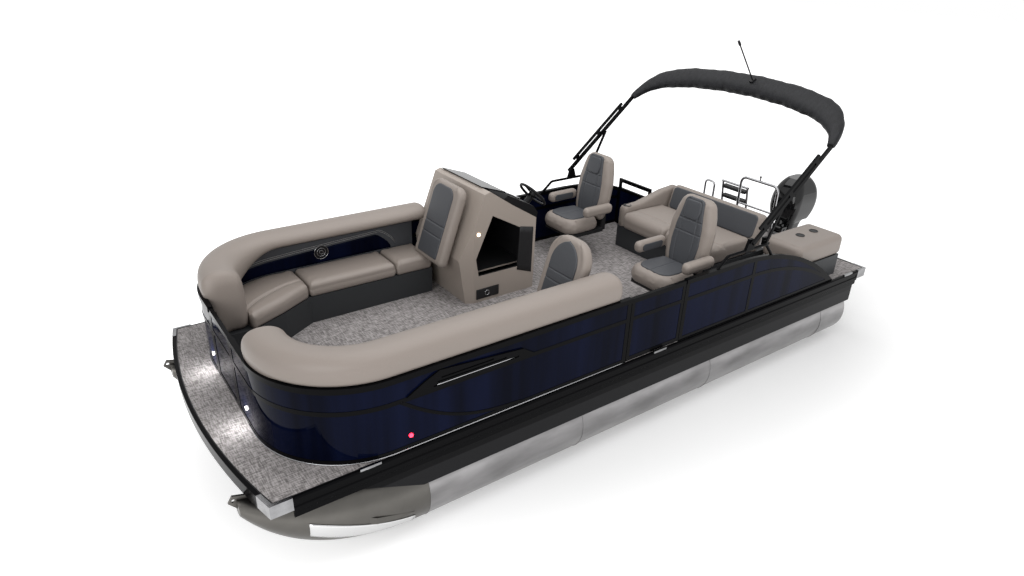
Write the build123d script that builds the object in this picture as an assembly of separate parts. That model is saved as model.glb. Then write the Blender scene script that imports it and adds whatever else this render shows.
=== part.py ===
from build123d import *
import os
from math import cos, radians, sin, sqrt

# Pontoon boat. Millimetres. While it is built, x = 0 is the stern edge of the deck, +X the bow,
# +Y the port side and z = 0 the ground under the keel strips. The finished boat is moved along x
# so that the middle of its overall length lies at x = 0.

# Hull
beam = 2590.0
deck_length = 6590.0
bow_bulge = 160.0
deck_top = 846.0
vinyl_thick = 4.0
deck_thick = 25.0
member_tall = 100.0
member_wide = 50.0
member_count = 12
tube_dia = 635.0
tube_y = 955.0
tube_aft = 125.0
nose_reach = 195.0
nose_long = 1285.0
keel_tall = 12.0
keel_wide = 44.0
bracket_wide = 30.0
bracket_off = 110.0
rail_thick = 26.0
rail_lip = 9.0
rail_bottom = 684.0
skirt_bottom = 480.0
skirt_thick = 6.0
trim_tall = 95.0

# Fence
fence_half = 1268.0
bow_porch = 120.0
fence_radius = 720.0
fence_thick = 30.0
panel_inset = 3.0
fence_height = 601.0
top_rail_tall = 42.0
mid_rail_z = 390.0
mid_rail_tall = 34.0
bottom_rail_tall = 38.0
post_wide = 42.0
arch_start = 2250.0
arch_radius = 2590.0
mid_arch_start = 2050.0
mid_arch_radius = 2674.0
fence_aft = 612.0
bow_gate_port = 190.0
bow_gate_starboard = -330.0
port_gate_wide = 646.0
port_gate_aft = 2993.0
stern_gate_x = 1405.0
stern_gate_inner = -688.0
stern_gate_tall = 584.0
gate_gap = 6.0
hinge_r = 11.0
hinge_off = 13.0
lamp_r = 15.0

# Bow lounges
lounge_face = 750.0
lounge_fore_end = 450.0
starboard_lounge_aft = 4330.0
port_lounge_aft = 3800.0
lounge_base_tall = 254.0
lounge_cushion = 135.0
bolster_wide = 310.0
bolster_tall = 185.0
liner_thick = 80.0

# Helm
console_port = -300.0
console_starboard = -1200.0
console_wall = 22.0
wheel_x = 3090.0
wheel_y = -800.0
wheel_z = 1622.0
wheel_lean = 47.7
wheel_r = 172.0
helm_chair_x = 2470.0
helm_chair_y = -820.0
companion_x = 2660.0
companion_y = 750.0
seat_top = 1300.0

# Stern
stern_lounge_front = 1985.0
stern_lounge_aft = 1060.0
stern_lounge_starboard = -560.0
stern_lounge_port = 700.0
arm_wide = 120.0
module_fore = 1200.0
module_aft = 400.0
tow_bar_x = 330.0
tow_bar_half = 255.0
tow_bar_top = 1540.0
tow_tube_r = 16.0
ladder_x = -50.0
ladder_y = -560.0
ladder_half = 190.0
ladder_tall = 440.0
ladder_lean = 8.0
tread_count = 3

# Bimini
bimini_x = 2178.0
bimini_z = 1623.0
bimini_y = 1290.0
bimini_angle = 40.0
bimini_leg = 1260.0
boot_apex = 1674.0
boot_shoulder = 1560.0
boot_shoulder_y = 985.0
boot_wide = 240.0
boot_thick = 150.0
leg_wide = 24.0
leg_deep = 40.0
brace_foot_x = 1917.0
brace_foot_z = 1580.0
brace_reach = 619.0
mast_tall = 500.0
mast_y = 90.0
track_r = 14.0

# Outboard motor
tilt_x = -150.0
tilt_z = 880.0
steer_x = -235.0
cowl_top = 1475.0
cowl_bottom = 965.0
prop_z = 212.0
prop_r = 168.0
plate_z = prop_z + prop_r + 22.0
prop_x = -640.0
skeg_z = 48.0
transom_x = -60.0

# Heights that follow from the stack of the hull
floor_z = deck_top - vinyl_thick
member_top = floor_z - deck_thick
member_bottom = member_top - member_tall
tube_r = tube_dia / 2
tube_z = keel_tall + tube_r
half_beam = beam / 2
fence_bow = deck_length - bow_porch
nose_tip = deck_length + nose_reach
nose_seam = nose_tip - nose_long
deck_half = half_beam - rail_thick
fence_top = deck_top + fence_height
port_gate_fore = port_gate_aft + port_gate_wide
seat_base_top = deck_top + lounge_base_tall
lounge_seat_top = seat_base_top + lounge_cushion

parts = {}


def slab(x0, x1, y0, y1, z0, z1):
    return Pos((x0 + x1) / 2, (y0 + y1) / 2, (z0 + z1) / 2) * Box(abs(x1 - x0), abs(y1 - y0), abs(z1 - z0))


def side_plate(points, y0, y1):
    """A plate cut to an outline of (x, z) points, standing between two y planes."""
    face = make_face(Polyline(*[(x, 0, z) for x, z in points], close=True))
    return Pos(0, min(y0, y1), 0) * extrude(face, amount=abs(y1 - y0), dir=(0, 1, 0))


def cross_plate(points, x0, x1):
    """A plate cut to an outline of (y, z) points, standing between two x planes."""
    face = make_face(Polyline(*[(0, y, z) for y, z in points], close=True))
    return Pos(min(x0, x1), 0, 0) * extrude(face, amount=abs(x1 - x0), dir=(1, 0, 0))


def plan_plate(points, z0, z1):
    """A plate cut to an outline of (x, y) points, lying between two heights."""
    face = make_face(Polyline(*points, close=True))
    return Pos(0, 0, z0) * extrude(face, amount=z1 - z0, dir=(0, 0, 1))


def rod(p0, p1, radius):
    """A round bar between two points."""
    a = Vector(*p0)
    b = Vector(*p1)
    run = b - a
    return (
        Plane(origin=a, z_dir=run)
        * Cylinder(radius, run.length, align=(Align.CENTER, Align.CENTER, Align.MIN))
    )


def cyl_y(x, z, y0, y1, radius):
    return Pos(x, (y0 + y1) / 2, z) * Rot(90, 0, 0) * Cylinder(radius, abs(y1 - y0))


def cyl_x(y, z, x0, x1, radius):
    return Pos((x0 + x1) / 2, y, z) * Rot(0, 90, 0) * Cylinder(radius, abs(x1 - x0))


def cyl_z(x, y, z0, z1, radius):
    return Pos(x, y, (z0 + z1) / 2) * Cylinder(radius, abs(z1 - z0))


def bent_tube(points, radius, bend):
    """A round tube along straight runs with rounded corners."""
    path = FilletPolyline(*points, radius=bend)
    return sweep(Plane(origin=path @ 0, z_dir=path % 0) * Circle(radius), path=path)


def mirror_y(shape):
    return mirror(shape, about=Plane.XZ)


def fuse(pieces):
    whole = pieces[0]
    for piece in pieces[1:]:
        whole = whole + piece
    return whole


def group(pieces):
    """Separate solids that share one node."""
    return Compound([solid for piece in pieces for solid in piece.solids()])


def fence_area(inset, stern):
    """Plan of the fenced deck: a straight stern end and a rounded bow."""
    w = fence_half - inset
    b = fence_bow - inset
    r = fence_radius - inset
    return make_face(
        [
            Line((stern, -w), (b - r, -w)),
            CenterArc((b - r, -w + r), r, -90, 90),
            Line((b, -w + r), (b, w - r)),
            CenterArc((b - r, w - r), r, 0, 90),
            Line((b - r, w), (stern, w)),
            Line((stern, w), (stern, -w)),
        ]
    )


def fence_solid(inset, z0, z1, stern=0.0):
    return Pos(0, 0, z0) * extrude(fence_area(inset, stern), amount=z1 - z0, dir=(0, 0, 1))


def fence_wall(inset0, inset1, z0, z1, stern=0.0):
    """A wall that follows the fence, between two insets and two heights."""
    return fence_solid(inset0, z0, z1, stern) - fence_solid(inset1, z0 - 1, z1 + 1, stern - 1)


def deck_area(grow):
    w = deck_half + grow
    bow = deck_length + grow
    return make_face(
        [
            Line((-grow, -w), (bow, -w)),
            ThreePointArc((bow, -w), (bow + bow_bulge, 0), (bow, w)),
            Line((bow, w), (-grow, w)),
            Line((-grow, w), (-grow, -w)),
        ]
    )


def deck_solid(grow, z0, z1):
    return Pos(0, 0, z0) * extrude(deck_area(grow), amount=z1 - z0, dir=(0, 0, 1))


# Tubes, each with a keel strip, and the nose cones that carry on from the seam
def tube(side):
    y = side * tube_y
    body = cyl_x(y, tube_z, tube_aft, nose_seam, tube_r)
    body = fillet(body.edges().group_by(Axis.X)[0], 45)
    keel = slab(tube_aft + 200, nose_seam, y - keel_wide / 2, y + keel_wide / 2, 0, keel_tall + 8)
    return body + keel


# Nose sections: share of the way to the tip, radius, height of the centre above the tube's centre
nose_sections = [
    (0.0, tube_r, 0.0),
    (0.42, 0.905 * tube_r, 40.0),
    (0.74, 0.62 * tube_r, 145.0),
    (0.96, 0.20 * tube_r, 318.0),
]


def nose(side):
    y = side * tube_y
    length = nose_tip - nose_seam
    rings = []
    for share, radius, rise in nose_sections:
        plane = Plane(origin=(nose_seam + share * length, y, tube_z + rise), z_dir=(1, 0, 0))
        rings.append(plane * Circle(radius))
    cone = loft(rings)
    eye = side_plate(
        [
            (nose_tip - 330, tube_z + 210),
            (nose_tip - 60, tube_z + 300),
            (nose_tip, tube_z + 372),
            (nose_tip - 30, tube_z + 420),
            (nose_tip - 330, tube_z + 330),
        ],
        y - 8,
        y + 8,
    )
    eye = eye - cyl_y(nose_tip - 34, tube_z + 382, y - 20, y + 20, 13)
    tip_y = y + side * 120
    edge_y = y + side * 312
    strake = plan_plate(
        [
            (nose_seam + 130, y + side * 150),
            (nose_seam + 130, edge_y),
            (nose_seam + 420, edge_y),
            (nose_seam + 900, tip_y),
        ],
        tube_z - 60,
        tube_z + 160,
    )
    lid = side_plate(
        [
            (nose_seam + 100, tube_z - 70),
            (nose_seam + 920, tube_z + 190),
            (nose_seam + 920, tube_z + 160),
            (nose_seam + 500, tube_z - 5),
            (nose_seam + 100, tube_z - 70 - 30),
        ],
        y - 400,
        y + 400,
    )
    return cone + eye + (strake & lid)


parts["tubes"] = group([tube(1), tube(-1)])
parts["tube_noses"] = group([nose(1), nose(-1)])

bracket_rows = []
for side in (1, -1):
    core = cyl_x(side * tube_y, tube_z, tube_aft - 10, nose_seam + 10, tube_r + 0.4)
    for off in (-bracket_off, bracket_off):
        y = side * tube_y + off
        wall = slab(
            tube_aft + 120, nose_seam - 40, y - bracket_wide / 2, y + bracket_wide / 2, tube_z + 200,
            member_bottom
        )
        bracket_rows.append(wall - core)
parts["tube_brackets"] = group(bracket_rows)

member_first = 150.0
member_last = deck_length - 150.0
member_half = deck_half - 22.0
members = []
for i in range(member_count):
    x = member_first + (member_last - member_first) * i / (member_count - 1)
    beam_c = slab(
        x - member_wide / 2, x + member_wide / 2, -member_half, member_half, member_bottom, member_top
    )
    slot = slab(
        x - member_wide / 2 + 6, x + member_wide, -member_half - 1, member_half + 1, member_bottom + 6,
        member_top - 6
    )
    members.append(beam_c - slot)
parts["cross_members"] = group(members)

pod_half = 300.0
pod = side_plate(
    [
        (transom_x, 300),
        (transom_x, tilt_z - 20),
        (transom_x + 50, tilt_z - 20),
        (transom_x + 50, member_bottom),
        (1150, member_bottom),
        (760, 330),
        (60, 300),
    ],
    -pod_half,
    pod_half,
)
parts["engine_pod"] = pod

parts["deck_panel"] = deck_solid(0, member_top, floor_z)
parts["vinyl_floor"] = deck_solid(-8, floor_z, deck_top)

# Edges of the deck: ribbed side rails, bow and stern trim, corner castings, grey skirts
rail_profile = [
    (deck_half, deck_top - 4),
    (half_beam - rail_lip, deck_top - 4),
    (half_beam, deck_top - 14),
    (half_beam, deck_top - 44),
    (half_beam - rail_lip, deck_top - 52),
    (half_beam - rail_lip, deck_top - 72),
    (half_beam, deck_top - 80),
    (half_beam, deck_top - 112),
    (half_beam - rail_lip, deck_top - 122),
    (half_beam - rail_lip, rail_bottom),
    (deck_half, rail_bottom),
]
casting_long = 120.0
casting_side = 120.0
rail = cross_plate(rail_profile, casting_long, deck_length - casting_long)

trim_band = (
    deck_solid(rail_thick, deck_top - trim_tall, deck_top - 2)
    - deck_solid(0.3, deck_top - 200, deck_top + 10)
)
bow_trim = (
    trim_band
    & slab(
        deck_length + 20, deck_length + 400, -deck_half + casting_side, deck_half - casting_side, 0, 2000
    )
)
stern_trim = trim_band & slab(-100, 60, -deck_half + casting_side, deck_half - casting_side, 0, 2000)
stern_trim = stern_trim - slab(-100, 60, -pod_half - 2, pod_half + 2, 0, 2000)
parts["deck_rails"] = group([rail, mirror_y(rail), bow_trim, stern_trim])

corner_band = deck_solid(rail_thick, deck_top - trim_tall, deck_top + 3)
corner_band = corner_band - deck_solid(0.3, deck_top - 300, deck_top + 10)
castings = []
for x0, x1 in ((-200, casting_long), (deck_length - casting_long, deck_length + 400)):
    for side in (1, -1):
        y0, y1 = sorted((side * (deck_half - casting_side), side * (half_beam + 50)))
        castings.append(corner_band & slab(x0, x1, y0, y1, 0, 2000))

skirt_outline = [
    (tube_aft, skirt_bottom),
    (nose_seam + 50, skirt_bottom),
    (nose_seam + 540, rail_bottom),
    (nose_seam + 540, member_bottom + 60),
    (tube_aft, member_bottom + 60),
]
skirt = side_plate(skirt_outline, deck_half - skirt_thick, deck_half)
parts["side_skirts"] = group([skirt, mirror_y(skirt)])


# Fence. Rails: bottom and top above the deck, outer and inner inset
rail_rows = [
    (0.0, bottom_rail_tall, 0.0, fence_thick),
    (mid_rail_z, mid_rail_z + mid_rail_tall, 0.0, fence_thick),
    (fence_height - top_rail_tall, fence_height, -6.0, fence_thick + 6.0),
]


def fence_disc(start, radius, top, side):
    """A disc standing along the fence, level with the top at the start of the arch."""
    y = side * (fence_half - fence_thick / 2)
    return cyl_y(start, top - radius, y - fence_thick, y + fence_thick, radius)


def fence_post(x, side, z1):
    y0, y1 = sorted((side * (fence_half - fence_thick), side * fence_half))
    return slab(x - post_wide / 2, x + post_wide / 2, y0, y1, deck_top, z1)


def bow_post(y):
    return slab(
        fence_bow - fence_thick, fence_bow, y - post_wide / 2, y + post_wide / 2, deck_top, fence_top
    )


def fence_rails(box):
    pieces = []
    for z0, z1, inset0, inset1 in rail_rows:
        pieces.append(fence_wall(inset0, inset1, deck_top + z0, deck_top + z1) & box)
    return pieces


def arch_rails(side):
    """The arched aft end: an outer and an inner arch that meet at the foot."""
    y0, y1 = sorted((side * (fence_half - fence_thick), side * fence_half))
    outer = fence_disc(arch_start, arch_radius, fence_top, side)
    outer = outer - fence_disc(arch_start, arch_radius - top_rail_tall, fence_top - top_rail_tall, side)
    outer = outer & slab(0, arch_start, y0, y1, deck_top, fence_top + 10)
    mid_top = deck_top + mid_rail_z + mid_rail_tall
    inner = fence_disc(mid_arch_start, mid_arch_radius, mid_top, side)
    inner = (
        inner - fence_disc(mid_arch_start, mid_arch_radius - mid_rail_tall, mid_top - mid_rail_tall, side)
    )
    inner = inner & slab(fence_aft, mid_arch_start, y0, y1, deck_top, fence_top)
    inner = inner & fence_disc(arch_start, arch_radius - 5, fence_top, side)
    foot = slab(fence_aft + 30, mid_arch_start, y0, y1, deck_top, deck_top + bottom_rail_tall)
    foot = foot & fence_disc(arch_start, arch_radius - 5, fence_top, side)
    return [outer, inner, foot, fence_post(mid_arch_start, side, fence_top - 20)]


port_bow_box = slab(port_gate_fore, fence_bow + 200, bow_gate_port, half_beam + 100, 0, 3000)
port_aft_box = slab(arch_start, port_gate_aft, 0, half_beam + 100, 0, 3000)
port_mid_box = slab(mid_arch_start, port_gate_aft, 0, half_beam + 100, 0, fence_top - top_rail_tall)
starboard_box = slab(arch_start, fence_bow + 200, -half_beam - 100, bow_gate_starboard, 0, 3000)
starboard_mid_box = slab(
    mid_arch_start, fence_bow + 200, -half_beam - 100, bow_gate_starboard, 0, fence_top - top_rail_tall
)

port_bow_posts = [fence_post(x, 1, fence_top) for x in (port_gate_fore + post_wide / 2,)]
port_bow_frame = fuse(
    fence_rails(port_bow_box) + port_bow_posts + [bow_post(bow_gate_port + post_wide / 2)]
)
port_aft_frame = fuse(
    fence_rails(port_aft_box)
    + fence_rails(port_mid_box)
    + [fence_post(port_gate_aft - post_wide / 2, 1, fence_top)]
    + arch_rails(1)
)
starboard_posts = [fence_post(x, -1, fence_top) for x in (port_gate_aft, port_gate_fore)]
starboard_frame = fuse(
    fence_rails(starboard_box)
    + fence_rails(starboard_mid_box)
    + starboard_posts
    + [bow_post(bow_gate_starboard - post_wide / 2)]
    + arch_rails(-1)
)

sheet = fence_wall(panel_inset, fence_thick - panel_inset, deck_top, fence_top - 20)


def arch_sheet(side):
    y = side * (fence_half - fence_thick / 2)
    half = fence_thick / 2 - panel_inset
    disc = fence_disc(arch_start, arch_radius - 8, fence_top - 8, side)
    return disc & slab(fence_aft + 60, arch_start, y - half, y + half, deck_top, fence_top)


port_bow_panel = (sheet & port_bow_box) - port_bow_frame
port_aft_panel = ((sheet & port_aft_box) + arch_sheet(1)) - port_aft_frame
starboard_panel = ((sheet & starboard_box) + arch_sheet(-1)) - starboard_frame


# Gates. Each turns on two knuckles held between lugs on its post
gate_tall = fence_height - 8.0
knuckle_z = (deck_top + 130.0, deck_top + 470.0)


def knuckles(x, y):
    return [cyl_z(x, y, z, z + 50, hinge_r) for z in knuckle_z]


def lugs(x, y):
    rows = []
    for z in knuckle_z:
        rows.append(cyl_z(x, y, z - 26, z - 0.5, hinge_r))
        rows.append(cyl_z(x, y, z + 50.5, z + 76, hinge_r))
    return rows


def gate(width, tall, thick, face_thick, mid):
    """A gate standing on y = 0 from x = 0, its panel set into a frame."""
    bars = [
        slab(0, post_wide * 0.8, 0, thick, 0, tall),
        slab(width - post_wide * 0.8, width, 0, thick, 0, tall),
        slab(0, width, 0, thick, 0, bottom_rail_tall),
        slab(0, width, 0, thick, tall - top_rail_tall, tall),
        slab(0, width, 0, thick, mid, mid + mid_rail_tall),
    ]
    frame = fuse(bars)
    step = (thick - face_thick) / 2
    return frame, slab(5, width - 5, step, thick - step, 5, tall - 5) - frame


gate_lift = 8.0
bow_axis = (fence_bow - fence_thick - hinge_off, bow_gate_starboard + gate_gap / 2)
bow_gate_wide = bow_gate_port - bow_gate_starboard - 2 * gate_gap
frame, panel = gate(
    bow_gate_wide, gate_tall - gate_lift, fence_thick, fence_thick - 2 * panel_inset, mid_rail_z - gate_lift
)
bow_place = Pos(fence_bow, bow_gate_starboard + gate_gap, deck_top + gate_lift) * Rot(0, 0, 90)
bow_arms = [
    slab(bow_axis[0], fence_bow - fence_thick, bow_axis[1] + 2, bow_axis[1] + 20, z + 4, z + 46)
    for z in knuckle_z
]
parts["bow_gate_frame"] = fuse([bow_place * frame] + knuckles(*bow_axis) + bow_arms)
parts["bow_gate_panel"] = bow_place * panel
bow_lug_arms = []
for z in knuckle_z:
    for z0 in (z - 26, z + 50.5):
        bow_lug_arms.append(
            slab(bow_axis[0], fence_bow - fence_thick, bow_axis[1] - 20, bow_axis[1] - 2, z0, z0 + 25.5)
        )
starboard_frame = fuse([starboard_frame] + lugs(*bow_axis) + bow_lug_arms)

port_axis = (port_gate_fore - gate_gap / 2, fence_half - fence_thick - hinge_off)
port_leaf_wide = port_gate_wide - 2 * gate_gap
frame, panel = gate(
    port_leaf_wide, gate_tall - gate_lift, fence_thick, fence_thick - 2 * panel_inset,
    mid_rail_z - gate_lift
)
port_place = Pos(port_gate_aft + gate_gap, fence_half - fence_thick, deck_top + gate_lift)
port_arms = [
    slab(port_axis[0] - 20, port_axis[0] - 2, port_axis[1], fence_half - fence_thick, z + 4, z + 46)
    for z in knuckle_z
]
parts["port_gate_frame"] = fuse([port_place * frame] + knuckles(*port_axis) + port_arms)
parts["port_gate_panel"] = port_place * panel
port_lug_arms = []
for z in knuckle_z:
    for z0 in (z - 26, z + 50.5):
        port_lug_arms.append(
            slab(port_axis[0] + 2, port_axis[0] + 20, port_axis[1], fence_half - fence_thick, z0, z0 + 25.5)
        )
port_bow_frame = fuse([port_bow_frame] + lugs(*port_axis) + port_lug_arms)

stern_thick = 26.0
stern_hinge_y = -(fence_half - fence_thick) + 18.0
stern_axis = (stern_gate_x - hinge_off, stern_hinge_y)
stern_gate_wide = stern_gate_inner - stern_hinge_y - 8.0
stern_tall = stern_gate_tall - gate_lift
stern_mid = stern_tall - top_rail_tall - 105.0
frame, panel = gate(stern_gate_wide, stern_tall, stern_thick, stern_thick - 2 * panel_inset, stern_mid)
panel = panel & slab(-10, stern_gate_wide + 10, -50, 50, 0, stern_mid + 2)
stern_place = Pos(stern_gate_x + stern_thick, stern_hinge_y + 6, deck_top + gate_lift) * Rot(0, 0, 90)
stern_knuckle_z = (deck_top + 110.0, deck_top + 330.0)
stern_arms = []
stern_lugs = []
for z in stern_knuckle_z:
    stern_arms.append(cyl_z(*stern_axis, z, z + 50, hinge_r))
    stern_arms.append(
        slab(stern_axis[0], stern_gate_x + 6, stern_hinge_y + 2, stern_hinge_y + 20, z + 4, z + 46)
    )
    for z0 in (z - 26, z + 50.5):
        stern_lugs.append(cyl_z(*stern_axis, z0, z0 + 25.5, hinge_r))
        stern_lugs.append(
            slab(
                stern_axis[0] - 9, stern_axis[0] + 9, -(fence_half - fence_thick) - 8, stern_hinge_y, z0,
                z0 + 25.5
            )
        )
parts["stern_gate_frame"] = fuse([stern_place * frame] + stern_arms)
parts["stern_gate_panel"] = stern_place * panel
stern_post = fence_post(stern_axis[0], -1, deck_top + 420)
starboard_frame = fuse([starboard_frame, stern_post] + stern_lugs)
starboard_panel = starboard_panel - stern_post

# Louvred accents on both sides, and the swoop below them
accent_long = 1050.0
accent_x1 = fence_bow - 810.0
accent_x0 = accent_x1 - accent_long
accent_z0 = deck_top + mid_rail_z + mid_rail_tall
accent_out = fence_half + 0.0
louvre_count = 3


def accent(side):
    y0, y1 = sorted((side * accent_out, side * (accent_out + 12)))
    outline = [
        (accent_x0, accent_z0),
        (accent_x0 + 110, accent_z0 + 70),
        (accent_x1 - 250, fence_top - top_rail_tall - 4),
        (accent_x1 - 120, accent_z0 + 70),
        (accent_x1, accent_z0),
        (accent_x1 - 60, accent_z0 - 14),
        (accent_x0 + 60, accent_z0 - 14),
    ]
    plate = side_plate(outline, y0, y1)
    slots = []
    for i in range(louvre_count):
        z = accent_z0 + 14 + 26 * i
        x0 = accent_x0 + 150 + 110 * i
        y2, y3 = sorted((side * (accent_out + 5), side * (accent_out + 20)))
        slots.append(slab(x0, accent_x1 - 200 - 30 * i, y2, y3, z, z + 14))
    return fuse([plate]) - fuse(slots)


parts["side_accents"] = group([accent(1), accent(-1)])

lamp_rows = [
    (fence_bow - 834.0, fence_half - panel_inset, deck_top + 109.0, 1),
    (fence_bow - 834.0, -(fence_half - panel_inset), deck_top + 109.0, 1),
    (fence_bow - panel_inset, bow_gate_port + 230.0, deck_top + 144.0, 0),
    (fence_bow - panel_inset, bow_gate_starboard - 110.0, deck_top + 144.0, 0),
]
lamps = []
for x, y, z, across in lamp_rows:
    if across:
        lamps.append(cyl_y(x, z, y, y + (9 if y > 0 else -9), lamp_r))
    else:
        lamps.append(cyl_x(y, z, x, x + 9, lamp_r))
parts["lamps"] = group(lamps)

cleat_x = (deck_length - 640.0, deck_length / 2 - 45.0, 330.0)
cleat_rows = [(x, side) for side in (1, -1) for x in cleat_x]
cleats = []
for x, side in cleat_rows:
    y = side * half_beam
    y0, y1 = sorted((y - side * 14, y + side * 6))
    horn = slab(x - 75, x + 75, y0, y1, deck_top - 2, deck_top + 16)
    foot = slab(x - 30, x + 30, y0, y1, deck_top - 4, deck_top - 1)
    cleats.append(horn + foot)
parts["deck_castings"] = group(castings + cleats)

# Bow lounges
lounge_step_x = (fence_bow - 910.0, fence_bow - 640.0, fence_bow - 350.0)
lounge_step_y = 165.0


def lounge_plan(side, aft, face, fore, grow):
    """Inboard edge of a lounge: straight along the aisle, then stepping in towards the bow gate."""
    return [
        (aft, side * 3000),
        (aft, side * (face - grow)),
        (lounge_step_x[0], side * (face - grow)),
        (lounge_step_x[1] + grow, side * (face - lounge_step_y - grow)),
        (lounge_step_x[2] + grow, side * (fore - grow)),
        (fence_bow + 300, side * (fore - grow)),
        (fence_bow + 300, side * 3000),
    ]


liner_out = fence_thick + 8.0
end_pad_wide = 190.0
end_pad_deep = 8.0 + bolster_wide
seat_round = 30.0


def end_pad(side, grow):
    """The padded end of a backrest beside the bow gate, down to the seat base."""
    y0, y1 = sorted((side * (lounge_fore_end - grow), side * (lounge_fore_end + end_pad_wide + grow)))
    wall = fence_wall(liner_out, end_pad_deep + grow, seat_base_top, fence_top + 3, fence_bow - 900)
    return wall & slab(fence_bow - 500, fence_bow + 300, y0, y1, 0, 3000)


bases = []
seats = []
liners = []
for side, aft in ((1, port_lounge_aft), (-1, starboard_lounge_aft)):
    room = fence_solid(liner_out, deck_top, seat_base_top, aft)
    plan = plan_plate(lounge_plan(side, aft, lounge_face, lounge_fore_end, 0), deck_top, seat_base_top)
    bases.append(room & plan)
    room = fence_solid(liner_out + liner_thick + 2, seat_base_top, lounge_seat_top, aft)
    plan = plan_plate(
        lounge_plan(side, aft, lounge_face, lounge_fore_end, 16), seat_base_top, lounge_seat_top
    )
    cushion = room & plan
    top = cushion.faces().sort_by(Axis.Z)[-1]
    seats.append(fillet(top.edges(), seat_round) - end_pad(side, 1))
    wall = fence_wall(liner_out, liner_out + liner_thick, seat_base_top, fence_top + 3, aft)
    y0, y1 = sorted((side * lounge_fore_end, side * 3000))
    liners.append((wall & slab(aft, fence_bow + 300, y0, y1, 0, 3000)) - end_pad(side, 0.3))
parts["lounge_bases"] = group(bases)
parts["lounge_seats"] = group(seats)
parts["lounge_liners"] = group(liners)


def bolster(side, aft, end_y):
    wall = fence_wall(8, 8 + bolster_wide, fence_top + 3, fence_top + 3 + bolster_tall, aft)
    y0, y1 = sorted((side * end_y, side * 3000))
    piece = wall & slab(aft, fence_bow + 300, y0, y1, 0, 3000)
    top = piece.faces().sort_by(Axis.Z)[-1]
    return fillet(top.edges(), bolster_round) + end_pad(side, 0)


bolster_round = 60.0
bolsters = [
    bolster(1, port_lounge_aft - 90, lounge_fore_end),
    bolster(-1, starboard_lounge_aft - 110, lounge_fore_end)
]
parts["lounge_bolsters"] = group(bolsters)

# Chaise backs lean on the console and on the port lounge's end
starboard_back_top = lounge_seat_top + 725.0
port_back_top = lounge_seat_top + 580.0
chaise_thick = 105.0
back_gap = 0.3


def chaise(foot_x, top_x, top_z, y0, y1):
    foot_z = lounge_seat_top + back_gap
    run = sqrt((foot_x - top_x) ** 2 + (top_z - foot_z) ** 2)
    nx = (top_z - foot_z) / run * chaise_thick
    nz = (foot_x - top_x) / run * chaise_thick
    body = side_plate(
        [(foot_x, foot_z), (foot_x - nx, foot_z), (top_x - nx, top_z - nz), (top_x, top_z)], y0, y1
    )
    return fillet(body.edges().filter_by(Axis.Y), 25)


chaise_out = fence_half - 8 - bolster_wide - 6
starboard_foot = starboard_lounge_aft + 110.0
port_foot = port_lounge_aft + 210.0
starboard_chaise = chaise(starboard_foot, starboard_foot - 250, starboard_back_top, -chaise_out, -430.0)
port_chaise = chaise(port_foot, port_foot - 180, port_back_top, 455.0, chaise_out)
parts["lounge_backrests"] = group([starboard_chaise, port_chaise])

# Console: a hollow shell, open to the aisle, with the dash on its aft slope
# Outlines as distances aft of the console's foremost point and heights above the deck
console_nose = starboard_lounge_aft - 70.0


def helm_points(rows):
    return [(console_nose - back, deck_top + rise) for back, rise in rows]


console_outer = helm_points(
    [(55, 0), (0, 444), (240, 1069), (300, 1089), (560, 914), (840, 744), (830, 0)]
)
shell = side_plate(console_outer, console_starboard, console_port)
inner = helm_points([(90, 22), (35, 439), (260, 1029), (295, 1054), (800, 739), (795, 22)])
hollow = side_plate(inner, console_starboard + console_wall, console_port - console_wall)
mouth_outline = helm_points([(180, 274), (150, 454), (330, 854), (660, 674), (640, 274)])
mouth = side_plate(mouth_outline, console_port - 60, console_port + 60)
corner_plan = [
    (console_nose - 140, console_port + 5),
    (console_nose + 140, console_port + 5),
    (console_nose + 140, console_port - 130),
]
corner_cut = plan_plate(corner_plan, 0, 3000)
corner_in = 1.4 * console_wall
corner_wall = [
    (console_nose - 140 - corner_in, console_port - corner_in),
    (console_nose - 140 - corner_in, console_port + 5),
    (console_nose + 140, console_port + 5),
    (console_nose + 140, console_port - 130 - corner_in),
    (console_nose + 140 - corner_in, console_port - 130 - corner_in),
]
hollow = hollow - plan_plate(corner_wall, 0, 3000)
shelf_z = deck_top + 234
shelf_y1 = console_port - console_wall - 130
shelf = slab(console_nose - 810, console_nose - 70, console_starboard + 4, shelf_y1, shelf_z, shelf_z + 16)
parts["console_shell"] = (shell - corner_cut) - hollow - mouth + shelf

dash_y0 = console_starboard + 80.0
dash_y1 = console_port - 170.0
dash_rows = [(560, 916), (620, 954), (930, 794), (990, 714), (960, 594), (842, 594), (840, 746)]
dash = side_plate(helm_points(dash_rows), dash_y0, dash_y1)
wheel_axis = Vector(sin(radians(wheel_lean)), 0, -cos(radians(wheel_lean)))
wheel_at = Vector(wheel_x, wheel_y, wheel_z)
column_end = wheel_at + wheel_axis * 300
column_start = wheel_at + wheel_axis * 46
column = rod(tuple(column_start), tuple(column_end), 34)
column = column - rod(tuple(wheel_at), tuple(wheel_at + wheel_axis * 100), 14.5)
dash = dash + column
parts["console_dash"] = dash - (shell - hollow)
screen_rows = [(298, 1091), (288, 1105), (558, 1012), (554, 999)]
screen = side_plate(helm_points(screen_rows), dash_y0 - 30, dash_y1 + 40)
screen_feet = side_plate(helm_points([(300, 1044), (300, 1098), (400, 1062), (400, 974)]), dash_y0, dash_y1)
parts["windscreen"] = (screen + screen_feet) - shell

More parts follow.
